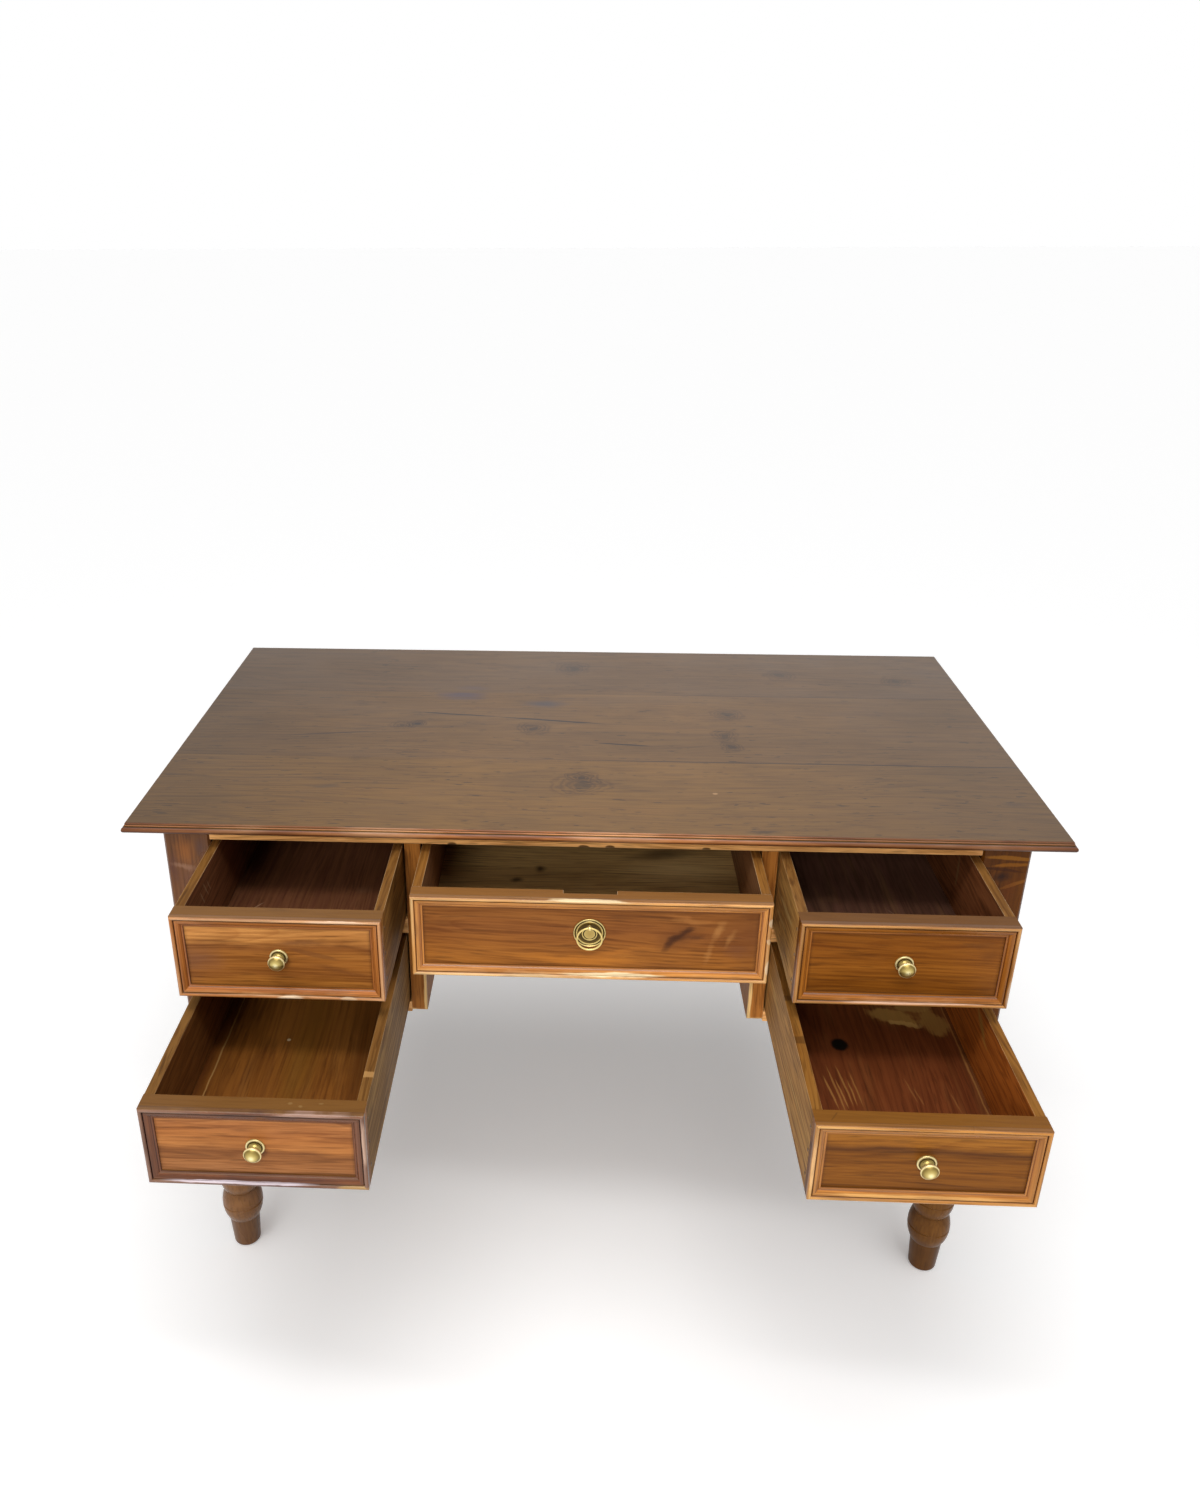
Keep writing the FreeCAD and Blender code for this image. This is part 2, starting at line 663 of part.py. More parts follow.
def make_drawers():
    left = f"-{POST_IN}"
    right = DIVIDER_OUT
    upper = (UPPER_FLOOR, "upper_opening", "upper_head_gap")
    lower = (LOWER_FLOOR, "lower_opening", "lower_head_gap")
    make_drawer("upper_left_drawer", left, "pedestal_opening", *upper, "upper_left_out")
    make_drawer("upper_right_drawer", right, "pedestal_opening", *upper, "upper_right_out")
    make_drawer("lower_left_drawer", left, "pedestal_opening", *lower, "lower_left_out")
    make_drawer("lower_right_drawer", right, "pedestal_opening", *lower, "lower_right_out")
    make_drawer("centre_drawer", f"-{KNEE}", "centre_opening", *upper, "centre_out")


make_top()
make_case()
make_runners()
make_drawers()
doc.recompute()

for item in doc.Objects:
    if "Invalid" in item.State or "Error" in item.State:
        raise RuntimeError(f"{item.Name} failed: {item.State}")
for item in nodes:
    if item.Shape.isNull() or not item.Shape.isValid():
        raise RuntimeError(f"{item.Label} has no valid shape")
os.makedirs("parts", exist_ok=True)
for item in nodes:
    item.Shape.exportStep(f"parts/{item.Label}.step")
print(f"{len(nodes)} sub-parts written")
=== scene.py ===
import json
import math

import bpy
from mathutils import Matrix, Vector

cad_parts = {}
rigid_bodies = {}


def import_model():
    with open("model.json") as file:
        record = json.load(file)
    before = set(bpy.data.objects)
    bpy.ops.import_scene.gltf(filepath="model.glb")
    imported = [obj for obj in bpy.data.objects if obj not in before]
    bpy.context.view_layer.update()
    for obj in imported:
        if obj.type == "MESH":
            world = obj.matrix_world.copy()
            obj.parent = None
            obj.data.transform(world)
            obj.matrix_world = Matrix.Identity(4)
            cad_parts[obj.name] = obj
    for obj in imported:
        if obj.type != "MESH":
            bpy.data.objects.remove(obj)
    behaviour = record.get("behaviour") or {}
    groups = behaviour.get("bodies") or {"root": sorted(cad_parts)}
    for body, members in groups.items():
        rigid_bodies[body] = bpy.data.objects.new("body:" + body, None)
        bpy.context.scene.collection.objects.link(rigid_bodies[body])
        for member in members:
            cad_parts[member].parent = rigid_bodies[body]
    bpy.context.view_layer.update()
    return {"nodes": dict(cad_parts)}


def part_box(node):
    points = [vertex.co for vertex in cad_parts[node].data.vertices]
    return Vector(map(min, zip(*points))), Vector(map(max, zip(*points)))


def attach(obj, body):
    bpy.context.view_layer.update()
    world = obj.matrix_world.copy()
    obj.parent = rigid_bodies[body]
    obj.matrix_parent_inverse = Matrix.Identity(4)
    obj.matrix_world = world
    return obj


# The looks of an old stained-pine writing desk: its wood, its brass, its wear, and the studio round it.
# Metres, in the frame of the desk: +X to the sitter's right, +Y to the back, +Z up, the floor at 0.
# Sizes given in millimetres are multiplied by MM where they are used.

for thing in list(bpy.data.objects):
    bpy.data.objects.remove(thing)
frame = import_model()
nodes = frame["nodes"]
MM = 0.001

# The photograph's camera: its frame in pixels, and where it stood and looked
PHOTO_WIDE, PHOTO_TALL = 1200, 1500
FOCAL_PX = 1196.77
AXIS_PX = (517.9, 749.75)
SENSOR_MM = 36
EYE = Vector((-0.0210, -1.6672, 1.5117))
PITCH, YAW, ROLL = 0.433, -0.053, -0.005

# Broad lights far away, which fall evenly: from where they shine, their strength and their spread in degrees
SUNS = {
    "overhead_light": ((0.0, -1.2, 3.4), 1.75, 55),
    "front_light": ((-0.35, -1.6, 0.72), 1.65, 20),
    "back_light": ((0.6, 2.0, 0.4), 0.9, 40),
}

# A narrow strip light, which draws the highlights along the mouldings
STRIP_SPOT = Vector((-0.2, -1.3, 2.5))
STRIP_AIM = Vector((0, -0.4, 0.65))
STRIP_LONG, STRIP_WIDE, STRIP_WATTS = 1.6, 0.14, 16

# The pale floor and the surround: how far the floor reaches, its glow, and the light that the surround gives
FLOOR_REACH = 40
FLOOR_GLOW = 0.24
SURROUND_LIGHT = 0.25

# Axes by number, and the ways that faces look
X, Y, Z = 0, 1, 2
UP = (0, 0, 1)
DOWN = (0, 0, -1)
FORWARD = (0, -1, 0)
BACKWARD = (0, 1, 0)
FORWARD_AND_UP = (0, -0.707, 0.707)

# Sockets of the Mix node, which share their names with its other kinds:
# those for colours, then those for vectors
FACTOR, FIRST, SECOND, MIXED = 0, 6, 7, 2
FIRST_WAY, SECOND_WAY, MIXED_WAY = 4, 5, 1

# How a board is turned from lying flat with its grain along X
ALONG_X = (0, 0, 0)
ALONG_X_UPRIGHT = (math.pi / 2, 0, 0)
ALONG_Y = (0, 0, math.pi / 2)
ALONG_Y_UPRIGHT = (math.pi / 2, 0, math.pi / 2)
ALONG_Z = (0, -math.pi / 2, 0)

# The wood's figure: the size of a trunk's slow curves in millimetres and the share of length that they keep,
# how often and how far the widths of the rings swing, in years, and the middle value of a noise
CURVE_SIZE, CURVE_ALONG = 150, 0.22
SWING_RATE, SWING_FAR = 0.3, 4.0
NOISE_MIDDLE = (0.5, 0.5, 0.5)

# Patterns drawn out along the grain: the share of length that they keep, their size across in millimetres
# and their detail. Real fibres and pores are under half a millimetre: they are drawn as coarse as they need
# to show.
PATTERNS = {
    "Streak": (0.09, 20, 4),
    "Fibre": (0.03, 3.2, 3),
    "Pore": (0.06, 2.6, 1),
    "Fleck": (0.15, 3.2, 1),
    "Cloud": (0.6, 110, 4),
}

# The top's boards: seed of the figure, early wood, late wood, dark streaks, and how far the left end and the
# right end have darkened
TOP_BOARDS = {
    "front": (3.1, "#704e1e", "#68481c", "#553b1a", 0.44, 0.38),
    "middle": (7.4, "#66471f", "#5e411d", "#4d361b", 0.46, 0.26),
    "back": (12.9, "#5c4122", "#543b1f", "#47321d", 0.36, 0.14),
}

# The top's moulded edge, from its under side up, as shares of its height: a round nose, then two beads over
# quirks, with painted highlights along the beads and painted shade in the quirks and under the nose
TOP_EDGE = (
    (0.00, "#4a2a18"), (0.20, "#844d26"), (0.40, "#a86c3c"), (0.54, "#94592f"), (0.60, "#381b0d"),
    (0.66, "#30180d"), (0.70, "#d4945c"), (0.77, "#ae6e3d"), (0.81, "#30180d"), (0.85, "#c28452"),
    (0.92, "#90562d"), (1.00, "#704425"),
)

# Knots in the top, in millimetres: middle, half lengths and strength
TOP_KNOTS = (
    (-262, 1, 17, 15, 1.0), (-286, -5, 22, 16, 0.7), (-86, -7, 28, 26, 0.75), (-14, -200, 46, 32, 0.6),
    (-10, -176, 24, 20, 0.8), (213, 55, 28, 24, 0.7), (200, -28, 20, 28, 0.65), (204, -68, 19, 20, 0.75),
    (-28, 250, 32, 34, 0.65), (319, 226, 30, 26, 0.65), (505, 206, 26, 26, 0.6), (-330, -120, 18, 12, 0.4),
)

# A knot's dark eye and the rings of late wood round it, from its middle out
KNOT_RINGS = (
    (0.00, "#6a5c50"), (0.24, "#4c4036"), (0.33, "#d8d0c8"), (0.43, "#85786c"), (0.53, "#f4f0ec"),
    (0.65, "#9c9086"), (0.76, "#ffffff"), (0.87, "#c4bab0"), (1.00, "#ffffff"),
)

# The legs: seed, early wood, late wood, dark figure, the paler turned length, and their gleam
LEGS = {
    "leg_front_left": (41.2, "#714829", "#6a4426", "#4a2c22", "#835b33", 0.2),
    "leg_front_right": (42.7, "#5c330c", "#4e2a09", "#321808", "#775025", 0.1),
    "leg_back_left": (43.5, "#7c5030", "#6c4425", "#4c2d1b", "#865c32", 0.15),
    "leg_back_right": (44.9, "#7c5030", "#6c4425", "#4c2d1b", "#865c32", 0.15),
}

# Along a leg, in millimetres: the foot of its post and the head of its turning, and the radii of its bulbs
# and of its necks, towards which the wood darkens
POST_FOOT, TURNED_HEAD = 478, 455
BULB_RADIUS, NECK_RADIUS = 30, 24

# The drawer fronts: seed, how far their bands of colour sway in millimetres, strength of the
# ring lines and of the dark streaks, and the bands from the lower rim to the upper one
FRONTS = {
    "upper_left": (61.3, 80, 0.35, 0.20, (
        (0.00, "#7a4719"), (0.12, "#a0662a"), (0.22, "#875223"), (0.34, "#965d27"), (0.50, "#9b622b"),
        (0.57, "#865226"), (0.66, "#b57a3e"), (0.80, "#cb8c4b"), (1.00, "#bf8240"),
    )),
    "centre": (74.8, 60, 0.3, 0.12, (
        (0.00, "#7e4b23"), (0.20, "#9a5f23"), (0.42, "#8e5622"), (0.58, "#834e22"), (0.78, "#895424"),
        (1.00, "#7c4a20"),
    )),
    "upper_right": (82.6, 40, 0.3, 0.16, (
        (0.00, "#70400f"), (0.20, "#7b4712"), (0.42, "#8b531a"), (0.70, "#824b15"), (1.00, "#7a4613"),
    )),
    "lower_left": (93.2, 80, 0.3, 0.14, (
        (0.00, "#8a5a32"), (0.16, "#a36d42"), (0.32, "#9a6337"), (0.41, "#84522c"), (0.49, "#b87840"),
        (0.58, "#ad6d38"), (0.67, "#a06436"), (0.76, "#bb7a45"), (1.00, "#c58548"),
    )),
    "lower_right": (104.7, 36, 0.3, 0.14, (
        (0.00, "#6a3d11"), (0.14, "#764613"), (0.34, "#834f17"), (0.58, "#7c4a14"), (0.655, "#5e3613"),
        (0.72, "#915a1d"), (0.86, "#aa6e28"), (1.00, "#945c20"),
    )),
}

# The quick sway of the bands, as a share of the slow one
QUICK_SWAY = 0.14

# The upper rims of the fronts, rubbed to an olive brown
RIMS = {
    "upper_left": "#754f24",
    "centre": "#835624",
    "upper_right": "#68431d",
    "lower_left": "#734e24",
    "lower_right": "#7d501b",
}

# The planted mouldings: seed, body colour, late wood, rubbed bead and roughness
MOULDINGS = {
    "upper_left": (63.0, "#b27036", "#8f5829", "#d8ac80", 0.30),
    "centre": (76.5, "#ca8a42", "#a86d30", "#ecc88e", 0.25),
    "upper_right": (84.3, "#a56826", "#87511c", "#c4945a", 0.30),
    "lower_left": (94.9, "#7a4a2a", "#5c3620", "#a98a78", 0.22),
    "lower_right": (106.4, "#bc7f3a", "#9a652a", "#e0b270", 0.30),
}

# Across a moulding, whose width is in millimetres, from the rim inwards: a bead, a quirk dark with old wax
# and painted shade, an ovolo and a fillet, with painted shade where they meet and against the board; then
# where the bead's crest is rubbed
MOULDING_WIDE = 15
MOULDING_SHADES = (
    (0.00, "#ffffff"), (0.30, "#ffffff"), (0.33, "#9a7c66"), (0.38, "#9a7c66"), (0.41, "#ffffff"),
    (0.78, "#f2e6da"), (0.83, "#b4967e"), (0.87, "#ffffff"), (0.95, "#f2e6da"), (1.00, "#a88a72"),
)
MOULDING_CREST = ((0.02, "#000000"), (0.12, "#ffffff"), (0.24, "#ffffff"), (0.31, "#000000"))

# Old wax and painted shade in the corner that the moulding makes with the front, in millimetres in from the
# rim, and the dark glue line between the two, in millimetres from the moulding's back
WAX_AND_SHADE_FROM, WAX_AND_SHADE_TO = 19, 15
GLUE_FROM, GLUE_TO = 1.2, 0.3
GLUE = "#472a15"

# The drawer boxes: seed, outside of the sides, their late wood, inside of the sides, the bottom and its late
# wood
BOXES = {
    "upper_left": (120.3, "#885e2c", "#6c4820", "#7a4b30", "#6a422a", "#5e3825"),
    "centre": (129.4, "#8c6432", "#704c23", "#8a6040", "#b8925a", "#a88350"),
    # The right-hand drawers' outsides, and the lower right one's inside, are paler: painted light on sides
    # that the lamps leave in shade
    "upper_right": (138.5, "#c29150", "#a2733d", "#7a4328", "#5a3b2e", "#503628"),
    "lower_left": (147.6, "#89683c", "#6e502e", "#7c4d24", "#7a4a1c", "#6e4119"),
    "lower_right": (156.7, "#b2844a", "#966d3b", "#b66222", "#6b371b", "#603017"),
}

# Marks of age, with some painted highlights, painted sheen, painted light and painted shade among them. A row
# holds the middle of a mark on its face and its half lengths, in millimetres, its turn in degrees, its colour
# and its cover, and its outline where that isn't the usual one. Marks on the top, on rims and in the drawers'
# bottoms are placed along X and Y, those on the fronts, the mouldings and the case along X and Z, and those
# on the drawers' sides along Y and Z.
# In millimetres too: how far outlines stray and how coarsely, up to what half length a mark counts as fine,
# and half the depth of the marks on the top, the boxes, the case, the mouldings and the rims.
STRAYS = {"torn": 34, "soft": 14, "sharp": 3}
STRAY_SIZE = 26
FINE = 4
TOP_DEEP, BOX_DEEP, CASE_DEEP, MOULDING_DEEP, RIM_DEEP = 60, 40, 30, 10, 8
# How far behind a moulding's foremost line the middles of its marks lie, in millimetres
MOULDING_SINK = 2

TOP_MARKS = (
    # Cracks along the grain
    (-205, 41, 76, 2.4, -6.5, "#1a0c06", 1.0),
    (-58, 23, 92, 2.8, -7.4, "#1a0c06", 1.0),
    (50, -62, 48, 2.4, -6.0, "#1a0c06", 1.0),
    (-390, -38, 76, 2.2, 8.0, "#2a1a10", 0.85),
    # Open seams between the boards
    (360, -118.6, 460, 2.4, 0, "#20120a", 0.8),
    (380, 132.4, 330, 2.2, 0, "#2a1a10", 0.7),
    (-420, 132.2, 160, 1.8, 0, "#2a1a10", 0.5),
    # Dark streaks and blots
    (-363, -216, 26, 8, 0, "#35261b", 0.55),
    (559, -233, 22, 7, -8, "#33231a", 0.55),
    (544, 22, 6, 5, 0, "#20150d", 0.7),
    (220, -322, 28, 6, 0, "#2a1a10", 0.7),
    # Bluish stain, and one pale chip
    (-204, 121, 48, 28, 0, "#352d3d", 0.7),
    (-71, 88, 40, 20, 0, "#302e37", 0.7),
    (-190, 152, 32, 13, 0, "#40343c", 0.45),
    (168, -217, 4, 3, 0, "#a48058", 0.7),
)

TOP_RAIL_MARKS = (
    # Chips along the lower edge
    (-8, 745, 8, 3, 0, "#2a160c", 0.85),
    (26, 745, 7, 3, 0, "#2a160c", 0.85),
    (150, 745, 6, 3, 0, "#2a160c", 0.85),
    (-180, 745, 7, 3, 0, "#2a160c", 0.85),
)

POST_MARKS = {
    "leg_front_left": (
        # A warm glow of sap wood in a purplish brown, with a pale line under it
        (-536, 728, 16, 24, 0, "#a5642a", 0.5),
        (-515, 733, 9, 18, 0, "#54403e", 0.5),
        (-554, 700, 9, 34, 6, "#4e302c", 0.55),
        (-540, 702, 20, 5, 14, "#967058", 0.5),
        (-530, 684, 20, 20, 0, "#5a3c34", 0.4),
    ),
    "leg_front_right": (
        # A dark knot, the grain swirling over it in orange and dark lines
        (529, 713, 15, 9, -12, "#211310", 0.8),
        (536, 741, 34, 3.6, 3, "#9a621c", 0.6),
        (540, 731, 28, 3.0, -4, "#8f5716", 0.6),
        (530, 724, 30, 2.4, 6, "#35180a", 0.6),
        (548, 703, 22, 3.2, -24, "#83501a", 0.5),
        (540, 690, 14, 24, 14, "#54270a", 0.5),
    ),
}

FRONT_MARKS = {
    "centre": (
        # An orange curl low in the middle
        (-10, 652, 95, 10, 4, "#b46e26", 0.55),
        (30, 664, 40, 6, -12, "#ad6926", 0.5),
        # A bent dark knot in a shade, with pale flecks across the grain beside it
        (107, 688, 34, 20, -42, "#5e3519", 0.5),
        (111, 693, 16, 8, -35, "#341a0b", 0.8),
        (99, 681, 6, 18, 27, "#3a1e0e", 0.8),
        (118, 699, 13, 5, -40, "#3a1e0e", 0.7),
        (128, 691, 15, 5, -8, "#472713", 0.6),
        (158, 700, 6, 20, 22, "#b98248", 0.4),
        (171, 688, 5, 18, 24, "#b98248", 0.35),
        (146, 668, 5, 22, 14, "#b07a42", 0.35),
        (122, 714, 36, 6, 8, "#a86e38", 0.4),
        # The darker right end
        (206, 690, 48, 70, 0, "#643a1e", 0.5),
        (180, 672, 28, 14, 10, "#6e4228", 0.5),
    ),
    "upper_left": (
        # Dark streaks, and a darker left end
        (-345, 706, 40, 5, -4, "#5e3823", 0.6),
        (-330, 690, 34, 4, 14, "#6a4022", 0.5),
        (-300, 668, 44, 5, 10, "#64391c", 0.5),
        (-470, 680, 40, 18, 0, "#6c4634", 0.5),
    ),
    "lower_left": (
        # A short dark streak
        (-270, 582, 12, 3, 15, "#7e4a26", 0.6),
    ),
    "upper_right": (
        # A dark streak and a soft shade
        (452, 712, 24, 5, -4, "#5c3413", 0.55),
        (470, 700, 14, 12, 0, "#5c3413", 0.35),
    ),
}

RIM_MARKS = {
    "upper_left": (
        # A dark bruise
        (-371, -470, 20, 7, 0, "#3a2413", 0.7),
    ),
    "lower_left": (
        # Pale dents
        (-330, -641, 3, 2, 0, "#b0905e", 0.7),
        (-318, -645, 2.5, 2, 0, "#b0905e", 0.7),
        (-296, -640, 3, 1.5, 0, "#b0905e", 0.6),
    ),
    "lower_right": (
        # A crack across the left end
        (268, -634, 9, 1.2, 55, "#1d0f07", 0.9),
    ),
}

MOULDING_MARKS = {
    "upper_left": (
        # Polish worn to the pale wood along the lower strip and along the upper bead, both with painted
        # highlights
        (-372, 634, 130, 5, 0, "#cf9c6c", 0.45),
        (-361, 631, 19, 3, 0, "#e6cfae", 0.8),
        (-290, 631, 12, 2.5, 0, "#dcc09a", 0.7),
        (-300, 740, 40, 2, 0, "#e0c0a2", 0.6),
    ),
    "centre": (
        # Polish worn to the pale wood along the lower strip, with a painted highlight in its middle
        (-40, 634, 180, 6, 0, "#dcae7c", 0.5),
        (28, 635, 70, 3, 0, "#f0deb2", 0.8),
        (-70, 631, 46, 3, 0, "#e2c08c", 0.6),
        # Chips up the right strip
        (218, 716, 3, 7, 0, "#e8d2ae", 0.8),
        (217, 690, 3, 5, 0, "#e0c49a", 0.7),
        (218, 652, 3, 12, 0, "#e8d2ae", 0.75),
    ),
    "upper_right": (
        # Polish worn along the lower strip and up the right one
        (372, 634, 130, 5, 0, "#b98660", 0.4),
        (380, 633, 90, 2, 0, "#d6b094", 0.6),
        (497, 650, 3, 22, 0, "#c9a888", 0.6),
    ),
    "lower_left": (
        # Dark polish on the long strips and on the left one
        (-372, 595, 150, 7, 0, "#44261c", 0.7),
        (-372, 497, 150, 8, 0, "#44261e", 0.65),
        (-494, 545, 6, 60, 0, "#4e2d22", 0.5),
        # A painted sheen along the lower strip, its worn right end, and worn edges at the right and above
        (-390, 497.5, 100, 2.2, 0, "#e0d4dc", 0.7),
        (-262, 495, 22, 4, 0, "#b08c52", 0.7),
        (-247, 560, 3, 36, 0, "#d8b49c", 0.6),
        (-300, 598, 46, 2.5, 0, "#a98878", 0.6),
    ),
    "lower_right": (
        # Polish worn along the lower strip and up the left one
        (370, 500, 110, 3, 0, "#e6b26a", 0.5),
        (248, 545, 3, 40, 0, "#e2b27c", 0.6),
    ),
}

BOTTOM_MARKS = {
    "lower_right": (
        # Scratches
        (301, -486, 1.5, 34, 8, "#9a6a38", 0.7),
        (308, -478, 1.5, 46, 6, "#9a6a38", 0.6),
        (314, -490, 1.3, 30, 7, "#9a6a38", 0.7),
        (320, -474, 1.5, 40, 6, "#9a6a38", 0.6),
        (327, -486, 1.3, 26, 5, "#9a6a38", 0.6),
        (333, -480, 1.3, 34, 5, "#9a6a38", 0.5),
        (400, -480, 1.2, 24, 8, "#8a5a30", 0.5),
        (407, -490, 1.2, 18, 9, "#8a5a30", 0.45),
        (449, -500, 1.2, 20, 6, "#8a5a30", 0.45),
        # The stain scraped off in torn patches at the back
        (430, -318, 62, 40, 0, "#9a6c34", 0.4),
        (412, -334, 40, 15, -14, "#b88c48", 0.55, "torn"),
        (424, -346, 26, 8, -8, "#c69c58", 0.6, "torn"),
        (464, -342, 20, 34, 8, "#a87e40", 0.55, "torn"),
        (440, -312, 30, 12, 10, "#ae8446", 0.5, "torn"),
        # A pale line beside the right wall
        (482, -420, 1.4, 190, 0, "#a0703c", 0.5),
    ),
    "lower_left": (
        # A paler middle, painted light where the drawer above shades it, with one white speck
        (-372, -370, 110, 90, 0, "#a2682c", 0.5),
        (-390, -417, 3, 3, 0, "#c9b08a", 0.9),
        # Dark and olive streaks from front to back, a pale line beside the left wall, and an olive spot
        (-488, -420, 20, 240, 0, "#4a2010", 0.5),
        (-365, -450, 28, 240, 0, "#6e4a16", 0.4),
        (-285, -450, 24, 240, 0, "#4e2a10", 0.4),
        (-472, -430, 1.3, 190, 0, "#a8804c", 0.65),
        (-330, -560, 20, 30, 0, "#6e5426", 0.4),
    ),
    "centre": (
        # A pale patch, dark blots, and a painted shadow towards the right
        (130, -190, 95, 45, 6, "#eac284", 0.5),
        (-68, -194, 13, 9, 0, "#23140c", 0.85),
        (-102, -225, 12, 8, 0, "#23140c", 0.8),
        (104, -146, 60, 18, 12, "#2c1c10", 0.6),
    ),
    "upper_left": (
        # A faint blot and scratches
        (-310, -262, 14, 12, 0, "#6b4a34", 0.5),
        (-440, -330, 1.2, 20, -30, "#a88468", 0.5),
        (-448, -310, 1.2, 16, -35, "#a88468", 0.45),
        (-300, -380, 1.2, 12, 20, "#94745c", 0.4),
    ),
    "upper_right": (
        # A faint blot and scratches
        (330, -255, 14, 12, 0, "#6b4a34", 0.45),
        (415, -310, 1.2, 40, 28, "#8a6a54", 0.5),
        (424, -330, 1.2, 30, 28, "#8a6a54", 0.45),
        (400, -370, 1.2, 22, 30, "#8a6a54", 0.4),
    ),
}

SIDE_MARKS = {
    "lower_right_drawer_side_left": (
        # Dark dents in the rim, and pale rubs along the grain
        (-421, 598, 6, 3, 0, "#3a2210", 0.55),
        (-503, 598, 8, 2, 0, "#3a2210", 0.55),
        (-360, 560, 60, 8, 4, "#c2a063", 0.45),
        (-520, 540, 80, 6, -3, "#c2a063", 0.4),
    ),
    "lower_right_drawer_side_right": (
        # A slanting scrape
        (-443, 576, 28, 8, 29, "#a8823e", 0.7),
        (-424, 587, 16, 2, 38, "#b08a48", 0.6),
    ),
    "lower_left_drawer_side_right": (
        # A pale dent and a rub in the rim
        (-588, 598, 6, 4, 0, "#b48a54", 0.6),
        (-430, 598, 40, 3, 0, "#a06c34", 0.5),
    ),
    "upper_right_drawer_side_left": (
        # Pale rubs and a dark streak
        (-380, 700, 50, 4, -6, "#c8a66c", 0.55),
        (-350, 670, 44, 3, -8, "#c8a66c", 0.5),
        (-400, 650, 30, 3, 4, "#5a3c1c", 0.5),
    ),
    "upper_right_drawer_side_right": (
        # A pale rub across the grain
        (-270, 700, 4, 26, 0, "#8c6a44", 0.6),
    ),
    "upper_left_drawer_side_left": (
        # Scratches across the grain
        (-400, 712, 1.4, 16, 30, "#a8886a", 0.5),
        (-385, 716, 1.4, 18, 32, "#a8886a", 0.5),
        (-372, 714, 1.3, 14, 30, "#a8886a", 0.45),
    ),
    "upper_left_drawer_side_right": (
        # A dark blot and a pale rub
        (-440, 690, 24, 12, 10, "#4a3018", 0.5),
        (-400, 660, 30, 8, -8, "#8a6a40", 0.4),
    ),
}

# Tones of the brass by the distance from each piece's axis, in millimetres: painted highlights on the crowns
# and beads, painted shade with brown patina in the hollows
KNOB_TONES = (
    (0.0, "#fff4c0"), (2.0, "#f0e0a0"), (4.2, "#c8b26a"), (6.6, "#a08a4a"), (8.3, "#7c6832"),
    (8.9, "#8a763c"), (9.5, "#e6d498"), (10.3, "#eedea8"), (11.2, "#b59e5c"),
)
PLATE_TONES = (
    (0.0, "#a98d4c"), (5.6, "#b59a58"), (6.4, "#ccb26c"), (6.9, "#463412"), (7.8, "#463412"),
    (8.4, "#d0b870"), (9.4, "#c4aa64"), (9.9, "#382a0e"), (12.0, "#503e18"), (14.6, "#5a461c"),
    (15.2, "#bca25c"), (16.4, "#dcc580"), (16.9, "#463412"), (18.0, "#503c16"), (18.5, "#d0b870"),
    (19.3, "#e2cc8a"), (20.0, "#8e7334"),
)
RING_TONES = ((0.0, "#f0d990"), (20.0, "#e4ca7e"))

# Panel pins, in millimetres: a head's width and height, and how far in from an edge they are driven; then how
# far up a drawer's side they stand, as shares of its height
PIN_WIDE, PIN_TALL = 4.5, 0.6
PIN_IN_FRONT, PIN_IN_BACK, PIN_IN_PANEL = 5, 6, 12
PIN_LEVELS = (0.18, 0.5, 0.82)


def linear(code):
    """An sRGB hex colour as linear light."""
    shares = [int(code[i : i + 2], 16) / 255 for i in (1, 3, 5)]
    return [c / 12.92 if c <= 0.04045 else ((c + 0.055) / 1.055) ** 2.4 for c in shares] + [1]


def add(tree, kind, inputs=None, stops=(), **settings):
    """Add a node: its settings, a socket or a plain value for each input, and a ramp's stops."""
    node = tree.nodes.new(kind)
    for name, setting in settings.items():
        setattr(node, name, setting)
    for name, source in (inputs or {}).items():
        if isinstance(source, bpy.types.NodeSocket):
            tree.links.new(source, node.inputs[name])
        else:
            node.inputs[name].default_value = source
    for number, (place, code) in enumerate(stops):
        ramp = node.color_ramp.elements
        stop = ramp[number] if number < len(ramp) else ramp.new(place)
        stop.position = place
        stop.color = linear(code)
    return node


def new_material(name):
    """An empty material and its tree."""
    material = bpy.data.materials.new(name)
    material.use_nodes = True
    material.node_tree.nodes.clear()
    return material, material.node_tree


def off_axis(tree, place, middle, across):
    """How far a place lies from an axis through a middle: across is 1 for the two ways that count."""
    spoke = add(tree, "ShaderNodeVectorMath", {0: place, 1: middle}, operation="SUBTRACT").outputs[0]
    flat = add(tree, "ShaderNodeVectorMath", {0: spoke, 1: across}, operation="MULTIPLY").outputs[0]
    return add(tree, "ShaderNodeVectorMath", {0: flat}, operation="LENGTH").outputs["Value"]


